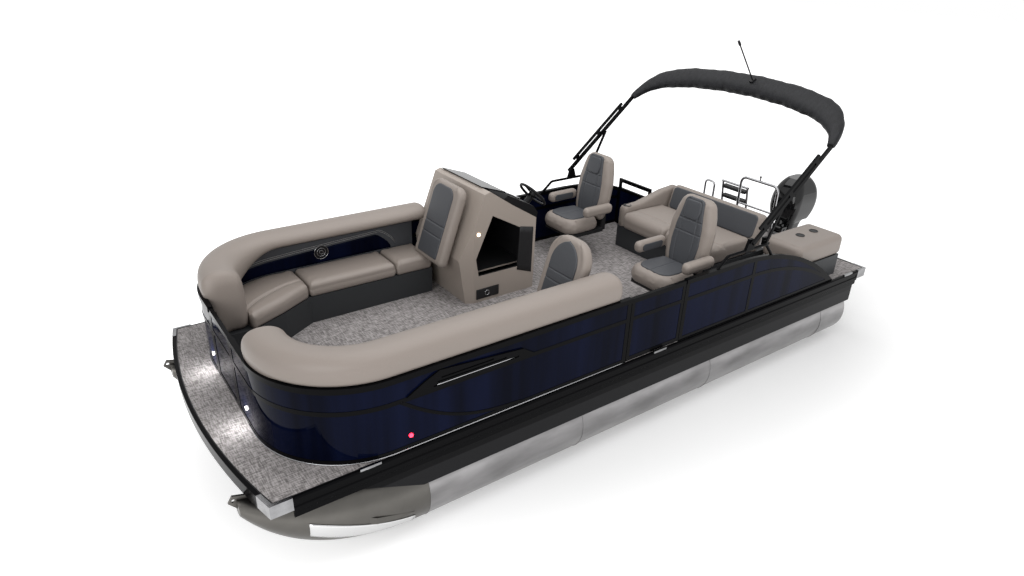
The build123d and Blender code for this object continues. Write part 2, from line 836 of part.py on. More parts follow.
rim_plane = Plane(origin=wheel_at, x_dir=(0, 1, 0), z_dir=wheel_axis)
rim = rim_plane * Torus(wheel_r - 14, 14)
hub = rim_plane * Cylinder(42, 40)
stub = rod(tuple(wheel_at), tuple(wheel_at + wheel_axis * 95), 14)
spokes = []
for turn in (90, 210, 330):
    spoke = Rot(0, 0, turn) * Pos((wheel_r - 14) / 2, 0, 0) * Box(wheel_r - 14, 34, 12)
    spokes.append(rim_plane * spoke)
parts["steering_wheel"] = fuse([rim, hub, stub] + spokes)

# Chairs: a fixed pedestal, and a pan with pads that turns on it
pan_z = 1104.0
seat_half = 255.0
seat_fore = 285.0
back_half = 225.0
back_foot = (-165.0, seat_top - 70.0)
back_head = (-285.0, 1930.0)
back_thick = 110.0


def pedestal(x, y):
    column = cyl_z(x, y, deck_top, pan_z - 16, 44) + cyl_z(x, y, deck_top, deck_top + 14, 160)
    return column - cyl_z(x, y, pan_z - 90, pan_z, 20.5)


def chair_pan(x, y):
    plate = slab(-190, 190, -190, 190, pan_z - 12, pan_z)
    pan = slab(-235, 225, -225, 225, pan_z, pan_z + 40)
    spine = slab(-300, -235, -190, 190, pan_z, seat_top + 20)
    stem = cyl_z(0, 0, pan_z - 80, pan_z - 10, 20)
    return Pos(x, y, 0) * fuse([plate, pan, spine, stem])


def chair_pads(x, y):
    seat = slab(-155, seat_fore, -seat_half, seat_half, pan_z + 40, seat_top)
    seat = fillet(seat.edges(), 38)
    back = side_plate(
        [
            back_foot,
            (back_foot[0] - 68, back_foot[1] - 60),
            (back_head[0] - back_thick, back_head[1] - 10),
            back_head,
        ],
        -back_half,
        back_half,
    )
    taper = cross_plate(
        [
            (-back_half, 1100), (back_half, 1100), (back_half, 1650), (150, 1960), (-150, 1960),
            (-back_half, 1650)
        ],
        -600, 200
    )
    back = back & taper
    arms = []
    for side in (1, -1):
        y0, y1 = sorted((side * 262, side * 338))
        arm = slab(-190, 120, y0, y1, 1385, 1450)
        arm = fillet(arm.edges(), 25)
        y0, y1 = sorted((side * back_half, side * 290))
        arms.append(arm + slab(-262, -160, y0, y1, 1390, 1440))
    return [Pos(x, y, 0) * piece for piece in [seat, back] + arms]


def chair_inserts(x, y):
    seat = slab(-120, 225, -185, 185, seat_top, seat_top + 7)
    a = Vector(back_foot[0], back_foot[1])
    b = Vector(back_head[0], back_head[1])
    run = (b - a).normalized()
    out = Vector(run.Y, -run.X)
    low = a + run * 110
    high = a + run * ((b - a).length - 45)
    corners = [low, high, high + out * 8, low + out * 8]
    back = side_plate([(p.X, p.Y) for p in corners], -165, 165)
    taper = cross_plate(
        [(-165, 1100), (165, 1100), (165, 1650), (110, 1960), (-110, 1960), (-165, 1650)], -600, 200
    )
    return [Pos(x, y, 0) * seat, Pos(x, y, 0) * (back & taper)]


chair_rows = [("helm", helm_chair_x, helm_chair_y), ("companion", companion_x, companion_y)]
for name, x, y in chair_rows:
    pads = chair_pads(x, y)
    parts[name + "_chair_pan"] = chair_pan(x, y) - pads[1]
    parts[name + "_chair_pads"] = group(pads)
    parts[name + "_chair_inserts"] = group(chair_inserts(x, y))
parts["chair_pedestals"] = group([pedestal(x, y) for name, x, y in chair_rows])

# Stern lounge and the port module
stern_base_top = seat_base_top
arm_y0 = stern_lounge_starboard - arm_wide
base = slab(stern_lounge_aft, stern_lounge_front - 60, arm_y0, stern_lounge_port, deck_top, stern_base_top)
seat_aft = stern_lounge_aft + 270
seat = slab(
    seat_aft, stern_lounge_front, stern_lounge_starboard + 2, stern_lounge_port, stern_base_top,
    seat_top - 5
)
parts["stern_seat"] = fillet(seat.edges(), 35)
back = side_plate(
    [
        (seat_aft - 4, stern_base_top),
        (seat_aft - 20, seat_top),
        (seat_aft - 115, seat_top + 190),
        (seat_aft - 160, seat_top + 212),
        (stern_lounge_aft + 20, seat_top + 200),
        (stern_lounge_aft, stern_base_top),
    ],
    stern_lounge_starboard + 2,
    stern_lounge_port,
)
stern_back = fillet(back.edges().filter_by(Axis.Y), 20)
arm = side_plate(
    [
        (stern_lounge_aft, stern_base_top),
        (stern_lounge_aft, seat_top + 170),
        (seat_aft, seat_top + 140),
        (seat_aft + 370, seat_top + 45),
        (stern_lounge_front - 40, seat_top + 35),
        (stern_lounge_front - 40, stern_base_top),
    ],
    arm_y0,
    stern_lounge_starboard,
)
stern_arm = fillet(arm.edges().filter_by(Axis.Y), 22)
parts["stern_backrest"] = group([stern_back, stern_arm])
module_y1 = fence_half - fence_thick - 40.0
module = slab(module_aft, module_fore, stern_lounge_port + 40, module_y1, 1080, 1300)
parts["stern_module"] = fillet(module.edges(), 45)
module_base = slab(
    module_aft + 30, module_fore - 20, stern_lounge_port + 60, module_y1 - 15, deck_top, 1080
)
parts["stern_base"] = group([base, module_base])

# Tow bar, grab rail and folding ladder
tow = bent_tube(
    [
        (tow_bar_x, -tow_bar_half, deck_top),
        (tow_bar_x, -tow_bar_half, tow_bar_top),
        (tow_bar_x, tow_bar_half, tow_bar_top),
        (tow_bar_x, tow_bar_half, deck_top),
    ],
    tow_tube_r,
    70,
)
cross = rod((tow_bar_x, -tow_bar_half, 1215), (tow_bar_x, tow_bar_half, 1215), 12)
pin = (
    cyl_z(tow_bar_x, 0, tow_bar_top, tow_bar_top + 62, 9)
    + cyl_z(tow_bar_x, 0, tow_bar_top + 52, tow_bar_top + 66, 17)
)
grab_y = ladder_y - ladder_half - 190.0
grab = bent_tube(
    [
        (120, grab_y, deck_top),
        (120, grab_y, deck_top + 440),
        (120, ladder_y - ladder_half - 45, deck_top + 440),
        (120, ladder_y - ladder_half - 45, deck_top),
    ],
    14,
    45,
)

ladder_z = deck_top + 22.0
lean = radians(ladder_lean)
rung_r = 14.0
rails = []
for side in (-1, 1):
    y = ladder_y + side * ladder_half
    top = (ladder_x + ladder_tall * sin(lean), y, ladder_z + ladder_tall * cos(lean))
    rails.append(rod((ladder_x, y, ladder_z), top, rung_r))
rails.append(cyl_y(ladder_x, ladder_z, ladder_y - ladder_half - 60, ladder_y + ladder_half + 60, rung_r))
top_x = ladder_x + ladder_tall * sin(lean)
top_z = ladder_z + ladder_tall * cos(lean)
rails.append(cyl_y(top_x, top_z, ladder_y - ladder_half - rung_r, ladder_y + ladder_half + rung_r, rung_r))
parts["ladder_rails"] = fuse(rails)
treads = []
for i in range(tread_count):
    along = 120.0 + 130.0 * i
    plane = Plane(
        origin=(ladder_x + along * sin(lean), ladder_y, ladder_z + along * cos(lean)),
        x_dir=(cos(lean), 0, -sin(lean)), z_dir=(sin(lean), 0, cos(lean))
    )
    treads.append(plane * Box(70, 2 * ladder_half - 2 * rung_r - 1, 34))
parts["ladder_treads"] = group(treads)
feet = []
for side in (-1, 1):
    y = ladder_y + side * (ladder_half + 40)
    foot = slab(ladder_x - 24, 60, y - 12, y + 12, deck_top + 0.0, ladder_z + 26)
    feet.append(foot - cyl_y(ladder_x, ladder_z, y - 20, y + 20, rung_r + 0.6))
parts["stern_rails"] = group([fuse([tow, cross, pin]), grab] + feet)

# Bimini: legs and boot in one plane that leans aft, braces and tracks
lift = radians(bimini_angle)
along = Vector(-cos(lift), 0, sin(lift))
normal = Vector(sin(lift), 0, cos(lift))
pivot = Vector(bimini_x, 0, bimini_z)


def in_plane(reach, y, up=0.0):
    p = pivot + along * reach + normal * up
    return (p.X, y, p.Z)


track_y = fence_half - fence_thick / 2
legs = []
for side in (1, -1):
    plane = Plane(origin=in_plane(bimini_leg / 2, side * bimini_y), x_dir=along, z_dir=normal)
    leg = plane * Box(bimini_leg + 40, leg_wide, leg_deep)
    mate = Plane(origin=in_plane(560, side * bimini_y, 62), x_dir=along, z_dir=normal)
    bar = mate * Box(900, leg_wide, 26)
    ties = [
        Plane(origin=in_plane(s, side * bimini_y, 36), x_dir=along, z_dir=normal) * Box(46, leg_wide, 60)
        for s in (170, 560, 960)
    ]
    y0, y1 = sorted((side * (track_y - 12), side * (bimini_y + 2)))
    legs.append(fuse([leg, bar] + ties + [cyl_y(bimini_x, bimini_z, y0, y1, 9)]))
parts["bimini_legs"] = group(legs)

crown = ThreePointArc(
    in_plane(boot_shoulder, boot_shoulder_y), in_plane(boot_apex, 0),
    in_plane(boot_shoulder, -boot_shoulder_y)
)
boot_end = bimini_leg - 40.0
boot_end_y = bimini_y - 62.0
left = TangentArc(
    in_plane(boot_shoulder, boot_shoulder_y), in_plane(boot_end, boot_end_y), tangent=-(crown % 0)
)
right = TangentArc(
    in_plane(boot_shoulder, -boot_shoulder_y), in_plane(boot_end, -boot_end_y), tangent=crown % 1
)
boot_path = Wire([left, crown, right])
start = Vector(*in_plane(boot_end, boot_end_y))
boot_plane = Plane(origin=start, x_dir=normal, z_dir=left % 1)
boot_section = boot_plane * RectangleRounded(boot_thick, boot_wide, boot_thick * 0.45)
parts["bimini_boot"] = sweep(boot_section, path=boot_path) - fuse(legs)

mast_foot = boot_thick / 2
mast = rod(in_plane(boot_apex, mast_y, mast_foot), in_plane(boot_apex, mast_y, mast_foot + mast_tall), 7)
mast_base = (
    Plane(origin=in_plane(boot_apex, mast_y, mast_foot + 9), x_dir=along, z_dir=normal) * Box(60, 44, 18)
)
mast_lens = rod(
    in_plane(boot_apex, mast_y, mast_foot + mast_tall - 20),
    in_plane(boot_apex, mast_y, mast_foot + mast_tall + 30), 13
)
parts["light_mast"] = fuse([mast, mast_base, mast_lens])

brace_tip_x, _, brace_tip_z = in_plane(brace_reach, 0)
brace_run = Vector(brace_tip_x - brace_foot_x, 0, brace_tip_z - brace_foot_z)
braces = []
for side in (1, -1):
    y = side * (bimini_y - 38.0)
    plane = Plane(
        origin=((brace_foot_x + brace_tip_x) / 2, y, (brace_foot_z + brace_tip_z) / 2),
        x_dir=brace_run,
        z_dir=(brace_run.Z, 0, -brace_run.X),
    )
    bar = plane * Box(brace_run.length + 30, 16, 26)
    y0, y1 = sorted((y + side * 8, y - side * 34))
    braces.append(bar + cyl_y(brace_foot_x, brace_foot_z, y0, y1, 8))
parts["bimini_braces"] = group(braces)

tracks = []
for side in (1, -1):
    y = side * track_y
    hoop = bent_tube(
        [
            (2620, y, fence_top - 30),
            (2470, y, 1540),
            (1930, y, 1540),
            (1760, y, fence_top - 90),
        ],
        track_r,
        60,
    )
    y0, y1 = sorted((side * (track_y - 14), side * (track_y + 14)))
    lug = side_plate(
        [
            (bimini_x - 60, 1540), (bimini_x - 26, bimini_z + 22), (bimini_x + 26, bimini_z + 22),
            (bimini_x + 60, 1540)
        ],
        y0, y1
    )
    lug = lug - cyl_y(bimini_x, bimini_z, y0 - 5, y1 + 5, 9.6)
    y2 = side * (bimini_y - 38.0 - 34.0)
    y3, y4 = sorted((y2 + side * 14.0, y2 - side * 8.0))
    ear = slab(brace_foot_x - 30, brace_foot_x + 30, y3, y4, 1530, brace_foot_z + 18)
    y5, y6 = sorted((y2, y + side * 6.0))
    ear = ear + slab(brace_foot_x - 30, brace_foot_x + 30, y5, y6, 1530, 1550)
    ear = ear - cyl_y(brace_foot_x, brace_foot_z, y3 - 5, y4 + 5, 8.6)
    below = (
        fence_disc(arch_start, arch_radius + 0.3, fence_top, side)
        + slab(arch_start, 3000, y - 60, y + 60, 0, fence_top)
    )
    tracks.append(fuse([hoop - below, lug, ear]))
parts["bimini_tracks"] = group(tracks)

# Outboard motor
clamps = [slab(transom_x - 12, transom_x, -165, 165, 560, tilt_z - 30)]
for side in (1, -1):
    y0, y1 = sorted((side * 120, side * 150))
    clamps.append(
        side_plate(
            [
                (transom_x - 12, 560), (transom_x - 60, 560), (tilt_x - 40, tilt_z - 60),
                (tilt_x - 40, tilt_z + 40), (tilt_x + 50, tilt_z + 40), (transom_x - 12, tilt_z - 30)
            ],
            y0,
            y1,
        )
    )
clamp = fuse(clamps)
parts["clamp_bracket"] = clamp - cyl_y(tilt_x, tilt_z, -200, 200, 18.6)

swivel = slab(steer_x + 34, tilt_x - 4, -95, 95, 590, tilt_z + 30)
swivel = swivel + cyl_y(tilt_x, tilt_z, -112, 112, 34) + cyl_y(tilt_x, tilt_z, -156, 156, 18)
lug_low = slab(steer_x - 46, steer_x + 60, -46, 46, 590, 630)
lug_high = slab(steer_x - 46, steer_x + 60, -46, 46, tilt_z - 20, tilt_z + 20)
swivel = swivel + lug_low + lug_high
parts["swivel_bracket"] = swivel - cyl_z(steer_x, 0, 500, 1000, 20.6)

# Cowl sections: height, front, aft, half width, corner radius
cowl_sections = [
    (cowl_bottom, -215.0, -640.0, 165.0, 90.0),
    (cowl_bottom + 150, -195.0, -700.0, 200.0, 110.0),
    (cowl_top - 130, -245.0, -700.0, 180.0, 110.0),
    (cowl_top, -340.0, -620.0, 100.0, 80.0),
]
rings = []
for z, fore, aft, half, corner in cowl_sections:
    plane = Plane(origin=((fore + aft) / 2, 0, z))
    rings.append(plane * RectangleRounded(fore - aft, 2 * half, corner))
parts["cowl"] = loft(rings)

# Leg sections: height, front, aft, half width
leg_sections = [
    (plate_z, -345.0, -520.0, 38.0),
    (plate_z + 190, -312.0, -500.0, 60.0),
    (cowl_bottom - 60, -312.0, -600.0, 110.0),
    (cowl_bottom, -290.0, -630.0, 140.0),
]
rings = []
for z, fore, aft, half in leg_sections:
    plane = Plane(origin=((fore + aft) / 2, 0, z))
    rings.append(plane * RectangleRounded(fore - aft, 2 * half, half * 0.85))
leg = loft(rings, ruled=True)
kingpin = cyl_z(steer_x, 0, 560, tilt_z + 45, 20)
yokes = []
yoke_r = 28.0
for z0, z1 in ((540, 584), (tilt_z + 26, cowl_bottom - 1)):
    yokes.append(slab(steer_x - 150, steer_x, -yoke_r, yoke_r, z0, z1) + cyl_z(steer_x, 0, z0, z1, yoke_r))
vent_plate = plan_plate(
    [(-270, -60), (-270, 60), (-420, 110), (-700, 100), (-700, -100), (-420, -110)], plate_z - 12,
    plate_z + 2
)
strut = side_plate([(-315, plate_z), (-530, plate_z), (-545, prop_z), (-330, prop_z)], -26, 26)
gear_r = 58.0
gear_aft = -560.0
gearcase = cyl_x(0, prop_z, gear_aft, -290, gear_r)
bullet = (
    Pos(-290, 0, prop_z)
    * Rot(0, 90, 0)
    * Cone(gear_r, 16, 110, align=(Align.CENTER, Align.CENTER, Align.MIN))
)
skeg = side_plate([(-360, prop_z), (-400, skeg_z), (-520, skeg_z), (-540, prop_z)], -7, 7)
motor_leg = fuse([leg, kingpin, vent_plate, strut, gearcase, bullet, skeg] + yokes)
parts["motor_leg"] = motor_leg - cyl_x(0, prop_z, gear_aft - 20, gear_aft + 42, 14.4)

hub_r = 46.0
blade_count = 3
hub = (
    cyl_x(0, prop_z, prop_x - 70, gear_aft - 6, hub_r) + cyl_x(0, prop_z, gear_aft - 10, gear_aft + 40, 14)
)
blades = []
for i in range(blade_count):
    blade = Box(96, 9, prop_r - 30)
    blade = fillet(blade.edges().filter_by(Axis.Y), 40)
    blade = Rot(0, 0, 32) * blade
    blade = Pos(0, 0, 30 + (prop_r - 30) / 2) * blade
    blades.append(Pos(prop_x, 0, prop_z) * Rot(360.0 * i / blade_count, 0, 0) * blade)
parts["propeller"] = fuse([hub] + blades) & cyl_x(0, prop_z, prop_x - 300, prop_x + 300, prop_r)

parts["port_frames"] = group([port_bow_frame, port_aft_frame])
parts["port_panels"] = group([port_bow_panel, port_aft_panel])
parts["starboard_frame"] = starboard_frame
parts["starboard_panel"] = starboard_panel

boxes = [shape.bounding_box() for shape in parts.values()]
midship = (min(b.min.X for b in boxes) + max(b.max.X for b in boxes)) / 2

os.makedirs("parts", exist_ok=True)
for name, shape in parts.items():
    placed = [Pos(-midship, 0, 0) * solid for solid in shape.solids()]
    export_step(Compound(placed), "parts/" + name + ".step")
print("midship", round(midship, 3), "nodes", len(parts))
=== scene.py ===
import logging
from dataclasses import dataclass, field
from enum import Enum
from typing import Optional, Sequence

import bmesh
import bpy
import numpy as np
from mathutils import Matrix, Vector


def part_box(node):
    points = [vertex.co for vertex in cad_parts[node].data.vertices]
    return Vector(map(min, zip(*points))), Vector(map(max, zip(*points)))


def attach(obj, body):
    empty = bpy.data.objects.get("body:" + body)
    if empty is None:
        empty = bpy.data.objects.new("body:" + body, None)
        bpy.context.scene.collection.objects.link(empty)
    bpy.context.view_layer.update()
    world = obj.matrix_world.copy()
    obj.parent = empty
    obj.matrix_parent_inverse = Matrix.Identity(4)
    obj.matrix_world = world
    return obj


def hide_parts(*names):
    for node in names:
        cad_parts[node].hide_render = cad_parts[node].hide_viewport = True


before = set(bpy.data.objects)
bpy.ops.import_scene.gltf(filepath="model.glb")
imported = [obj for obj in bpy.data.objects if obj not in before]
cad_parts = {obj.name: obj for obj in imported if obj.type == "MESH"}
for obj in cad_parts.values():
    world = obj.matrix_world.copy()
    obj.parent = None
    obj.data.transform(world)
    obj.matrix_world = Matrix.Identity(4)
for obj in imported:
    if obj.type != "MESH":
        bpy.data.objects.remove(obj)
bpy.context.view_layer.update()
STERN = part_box("deck_panel")[0][0]
LOG = logging.getLogger("pontoon")
Array = np.ndarray
Piece = bpy.types.Object
Tree = bpy.types.NodeTree
Node = bpy.types.Node
Socket = bpy.types.NodeSocket
Triple = tuple[float, float, float]
FORE = np.array([1.0, 0.0, 0.0])
PORT = np.array([0.0, 1.0, 0.0])
UP = np.array([0.0, 0.0, 1.0])
SIDES = ((1, "port"), (-1, "starboard"))

# Sizes that several pieces share, in metres
FENCE_HALF = 1.268
FENCE_BOW = 6.470
FENCE_TURN = 0.720
ARC_START = 5.75
ARC_STOP = 0.548
ARC_MEAN = 0.56
TUBE_OFF = 0.955
TUBE_AXIS = 0.3295
TUBE_RADIUS = 0.3175
LAMP_SIDE = 1.2
SEAM_REACH = 0.016
SEAM_WIDTH = 0.006
TINY = 1e-9


class Body(str, Enum):
    """Bodies of the boat that a piece can ride on."""

    BOAT = "boat"
    HELM = "helm_chair"
    COMPANION = "companion_chair"
    BIMINI = "bimini"


def at(x: float, y: float, z: float) -> Array:
    """Gives a point measured from the stern edge of the deck in the row frame."""
    return np.array([x + STERN, y, z], dtype=float)


def line(*points: Sequence[float]) -> Array:
    """Gives points measured from the stern edge as rows in the row frame."""
    return np.array([at(*p) for p in points])


def abeam(point: Array, first: float, last: float) -> Array:
    """Gives a line across the boat through a point, between two distances to port."""
    return line(point + first * PORT, point + last * PORT)


# Finishes


def set_inputs(node: Node, values: dict[str, object]) -> None:
    """Sets inputs of a node by their names."""
    for name, value in values.items():
        node.inputs[name].default_value = value


def reckon(tree: Tree, operation: str, *values: object) -> Socket:
    """Adds one step of arithmetic to a node tree.

    Args:
        tree: The nodes it is added to.
        operation: What it works out.
        values: For each input a number or another node's socket.

    Returns:
        The socket with the result.
    """
    node = tree.nodes.new("ShaderNodeMath")
    node.operation = operation
    for place, value in zip(node.inputs, values):
        if isinstance(value, Socket):
            tree.links.new(value, place)
        else:
            place.default_value = value
    return node.outputs[0]


def noise(tree: Tree, stretch: Triple, scale: float, detail: float) -> Socket:
    """Adds noise on Object coordinates.

    Args:
        tree: The nodes it is added to.
        stretch: Scale along x, y and z.
        scale: Scale of the noise itself.
        detail: Octaves of the noise.

    Returns:
        The socket with its value.
    """
    coords = tree.nodes.new("ShaderNodeTexCoord")
    mapping = tree.nodes.new("ShaderNodeMapping")
    mapping.inputs["Scale"].default_value = stretch
    cloud = tree.nodes.new("ShaderNodeTexNoise")
    set_inputs(cloud, {"Scale": scale, "Detail": detail})
    tree.links.new(coords.outputs["Object"], mapping.inputs["Vector"])
    tree.links.new(mapping.outputs["Vector"], cloud.inputs["Vector"])
    return cloud.outputs["Fac"]


def shade(
    tree: Tree, value: Socket, span: tuple[float, float], *colours: Triple
) -> Socket:
    """Blends two colours over a span of a value.

    Args:
        tree: The nodes it is added to.
        value: The socket with the value.
        span: Values at which the first colour ends and the second begins.
        colours: The two colours.

    Returns:
        The socket with the colour.
    """
    ramp = tree.nodes.new("ShaderNodeValToRGB")
    for element, place, colour in zip(ramp.color_ramp.elements, span, colours):
        element.position = place
        element.color = (*colour, 1.0)
    tree.links.new(value, ramp.inputs["Fac"])
    return ramp.outputs["Color"]


class Skin:
    """What all finishes share: a material made once and kept by its name."""

    name: str
    slot: str = ""

    def make(self) -> bpy.types.Material:
        """Builds the material once and gives it back on later calls."""
        found = bpy.data.materials.get("skin_" + self.name)
        if found:
            return found
        mat = bpy.data.materials.new("skin_" + self.name)
        mat.use_nodes = True
        self.fill(mat.node_tree, mat.node_tree.nodes["Principled BSDF"])
        return mat

    def fill(self, tree: Tree, shader: Node) -> None:
        """Sets up the surface, in each finish's own way."""
        raise NotImplementedError


@dataclass(frozen=True)
class Finish(Skin):
    """One surface: colour, gloss and a fine procedural relief.

    Attributes:
        name: Name of the material.
        colour: Linear base colour.
        rough: Roughness.
        metal: Metalness.
        grain: Scale of the relief's noise, 0 for none.
        relief: Strength of the relief.
        mottle_and_reflection: Share by which noise darkens and lightens the colour: random mottling on most
            finishes, painted reflection streaks on the navy.
        stretch: Scale of the noise along x, y and z.
        glow: Emission strength in the base colour.
        alpha: Opacity, below 1 for tinted glass.
        spec: Strength of the reflection at the surface.
        slot: The record's material slot for this finish, not used.
    """

    name: str
    colour: Triple
    rough: float = 0.5
    metal: float = 0.0
    grain: float = 0.0
    relief: float = 0.0
    mottle_and_reflection: float = 0.0
    stretch: Triple = (1.0, 1.0, 1.0)
    glow: float = 0.0
    alpha: float = 1.0
    spec: float = 0.5
    slot: str = ""

    def fill(self, tree: Tree, shader: Node) -> None:
        """Sets colour and gloss, then the noise as relief and as mottling of the colour, which on the navy
        paints reflection streaks.

        Args:
            tree: The material's nodes.
            shader: The surface.
        """
        values = {
            "Base Color": (*self.colour, 1.0), "Roughness": self.rough, "Metallic": self.metal,
            "Alpha": self.alpha, "Specular IOR Level": self.spec
        }
        if self.glow:
            values |= {"Emission Color": (*self.colour, 1.0), "Emission Strength": self.glow}
        set_inputs(shader, values)
        if not self.grain:
            return
        cloud = noise(tree, self.stretch, self.grain, 4.0)
        if self.relief:
            bump = tree.nodes.new("ShaderNodeBump")
            set_inputs(bump, {"Strength": self.relief, "Distance": 0.002})
            tree.links.new(cloud, bump.inputs["Height"])
            tree.links.new(bump.outputs["Normal"], shader.inputs["Normal"])
        if self.mottle_and_reflection:
            dark = tuple(c * (1.0 - self.mottle_and_reflection) for c in self.colour)
            light = tuple(min(1.0, c * (1.0 + self.mottle_and_reflection)) for c in self.colour)
            tree.links.new(shade(tree, cloud, (0.35, 0.65), dark, light), shader.inputs["Base Color"])


@dataclass(frozen=True)
class BandFinish(Skin):
    """Two flat shades that meet at a height."""

    name: str
    low: Triple
    high: Triple
    height: float
    rough: float = 0.35
    spec: float = 0.06

    def fill(self, tree: Tree, shader: Node) -> None:
        """Chooses the shade by the height in Object coordinates.

        Args:
            tree: The material's nodes.
            shader: The surface.
        """
        set_inputs(shader, {"Roughness": self.rough, "Specular IOR Level": self.spec})
        coords = tree.nodes.new("ShaderNodeTexCoord")
        split = tree.nodes.new("ShaderNodeSeparateXYZ")
        tree.links.new(coords.outputs["Object"], split.inputs["Vector"])
        over = reckon(tree, "GREATER_THAN", split.outputs["Z"], self.height)
        tree.links.new(shade(tree, over, (0.0, 1.0), self.low, self.high), shader.inputs["Base Color"])


@dataclass(frozen=True)
class WovenFloor(Skin):
    """Grey woven vinyl: threads across and along, each with its own shade."""

    name: str = "woven_floor"
    dark: Triple = (0.140, 0.130, 0.128)
    light: Triple = (0.400, 0.376, 0.372)
    threads: tuple[Triple, Triple] = ((14.0, 115.0, 1.0), (115.0, 14.0, 1.0))
    rough: float = 0.72
    spec: float = 0.12

    def fill(self, tree: Tree, shader: Node) -> None:
        """Blends the shades by the mean of two noises stretched along x and along y.

        Args:
            tree: The material's nodes.
            shader: The surface.
        """
        set_inputs(shader, {"Roughness": self.rough, "Specular IOR Level": self.spec})
        both = reckon(tree, "ADD", *[noise(tree, stretch, 1.0, 2.0) for stretch in self.threads])
        mean = reckon(tree, "MULTIPLY", both, 0.5)
        tree.links.new(shade(tree, mean, (0.40, 0.60), self.dark, self.light), shader.inputs["Base Color"])


VINYL = {"grain": 300.0, "relief": 0.15}
TAUPE = Finish("taupe_vinyl", (0.256, 0.221, 0.197), 0.45, mottle_and_reflection=0.03, spec=0.35, slot="taupe", **VINYL)
CHARCOAL = Finish(
    "charcoal_vinyl", (0.060, 0.063, 0.070), 0.48, mottle_and_reflection=0.05, spec=0.3, slot="charcoal", **VINYL
)
STITCH = Finish("pale_stitch", (0.42, 0.41, 0.40), 0.6, slot="charcoal")
# The navy's noise, stretched upright, paints vertical reflection streaks of the lamps into its colour, half
# darker to half lighter.
NAVY = Finish(
    "navy_gloss", (0.0020, 0.0034, 0.0135), 0.05, grain=1.0, mottle_and_reflection=0.5, stretch=(5.0, 5.0, 0.3), spec=0.03,
    slot="navy"
)
BLACK = Finish("black_rail", (0.003, 0.003, 0.0035), 0.16, spec=0.035, slot="black_rail")
SATIN = Finish("black_satin", (0.009, 0.009, 0.010), 0.42, spec=0.18, slot="black_trim")
TUBE = Finish(
    "brushed_tube", (0.235, 0.230, 0.232), 0.30, 1.0, grain=4.0, relief=0.10, mottle_and_reflection=0.20,
    stretch=(0.5, 1.6, 1.6), slot="brushed_tube"
)
NOSE = Finish("nose_grey", (0.112, 0.107, 0.099), 0.36, 1.0, grain=6.0, relief=0.05, mottle_and_reflection=0.06)
POLISHED = Finish("polished_strake", (0.62, 0.62, 0.62), 0.14, 1.0, slot="brushed_tube")
CAST = Finish("cast_corner", (0.24, 0.24, 0.245), 0.20, 1.0, grain=9.0, relief=0.1, mottle_and_reflection=0.2)
MILL = Finish("mill_aluminium", (0.40, 0.40, 0.40), 0.42, 1.0, grain=30.0, relief=0.05, mottle_and_reflection=0.05)
CHROME = Finish("chrome", (0.36, 0.36, 0.37), 0.14, 1.0, slot="chrome")
BASE = Finish("base_grey", (0.042, 0.044, 0.047), 0.40, grain=180.0, relief=0.08, spec=0.10)
SHELL = Finish("taupe_shell", (0.345, 0.298, 0.262), 0.33, spec=0.45)
BOOT = Finish(
    "boot_cloth", (0.0095, 0.0098, 0.0115), 0.52, grain=14.0, relief=1.0, mottle_and_reflection=0.25,
    stretch=(1.0, 2.5, 1.0), spec=0.2, slot="boot_cloth"
)
COWL = Finish("motor_gloss", (0.006, 0.006, 0.0065), 0.06, spec=0.35)
PLASTIC = Finish("black_plastic", (0.014, 0.014, 0.015), 0.5, spec=0.3, slot="black_plastic")
TINT = Finish("tinted_screen", (0.006, 0.006, 0.007), 0.06, alpha=0.95, spec=0.02)
STEEL = Finish("prop_steel", (0.55, 0.55, 0.55), 0.2, 1.0)
RED = Finish("port_lamp", (1.0, 0.02, 0.05), 0.2, glow=6.0)
GREEN = Finish("starboard_lamp", (0.03, 0.8, 0.15), 0.2, glow=2.0)
WHITE = Finish("white_lamp", (1.0, 0.97, 0.92), 0.2, glow=5.0)
WARM = Finish("courtesy_lamp", (1.0, 0.78, 0.55), 0.2, glow=6.0, slot="lamp_lens")
FLOOR = WovenFloor()
SKIRT = BandFinish("side_skirt", (0.013, 0.013, 0.014), (0.003, 0.003, 0.0035), 0.615)


# Surfaces


def unit(v: Array) -> Array:
    """Scales vectors to length one."""
    return v / np.maximum(np.linalg.norm(v, axis=-1, keepdims=True), TINY)


def circle(count: int) -> Array:
    """Gives even angles round a full turn."""
    return np.linspace(0.0, 2.0 * np.pi, count, endpoint=False)


def squared(wave: Array, power: float) -> Array:
    """Swells a sine or cosine towards a square wave, or a circle towards a box."""
    return np.sign(wave) * np.abs(wave) ** power


def eased(share: Array) -> Array:
    """Turns a share from 0 to 1 into a smooth step, 3 q squared - 2 q cubed."""
    q = np.clip(share, 0.0, 1.0)
    return q * q * (3.0 - 2.0 * q)


def drawn(away: Array, radius: float) -> Array:
    """Gives how far a quarter circle draws an edge in at a distance from the end."""
    dip = np.clip(radius - away, 0.0, radius)
    return radius - np.sqrt(np.maximum(radius**2 - dip**2, 0.0))


def square_to(axis: Array) -> tuple[Array, Array, Array]:
    """Finds directions square to an axis.

    Args:
        axis: The axis, of any length.

    Returns:
        The axis at length one, then two directions square to it and to each other.
    """
    axis = unit(axis)
    lead = UP if abs(axis[2]) < 0.9 else FORE
    side = unit(np.cross(axis, lead))
    return axis, side, np.cross(axis, side)


def lean(ahead: float, rise: float) -> tuple[Array, Array]:
    """Describes a leaning face.

    Args:
        ahead: How far it runs forward.
        rise: How far it runs up.

    Returns:
        The way along the face and the way out of its front.
    """
    run = unit(np.array([ahead, 0.0, rise]))
    return run, np.array([run[2], 0.0, -run[0]])


def resample(points: Array, share: Array) -> Array:
    """Takes points along a polyline.

    Args:
        points: The polyline.
        share: Shares of its length.

    Returns:
        One point for each share.
    """
    step = np.linalg.norm(np.diff(points, axis=0), axis=1)
    along = np.concatenate([[0.0], np.cumsum(step)])
    along /= along[-1]
    return np.stack([np.interp(share, along, points[:, i]) for i in range(3)], axis=-1)


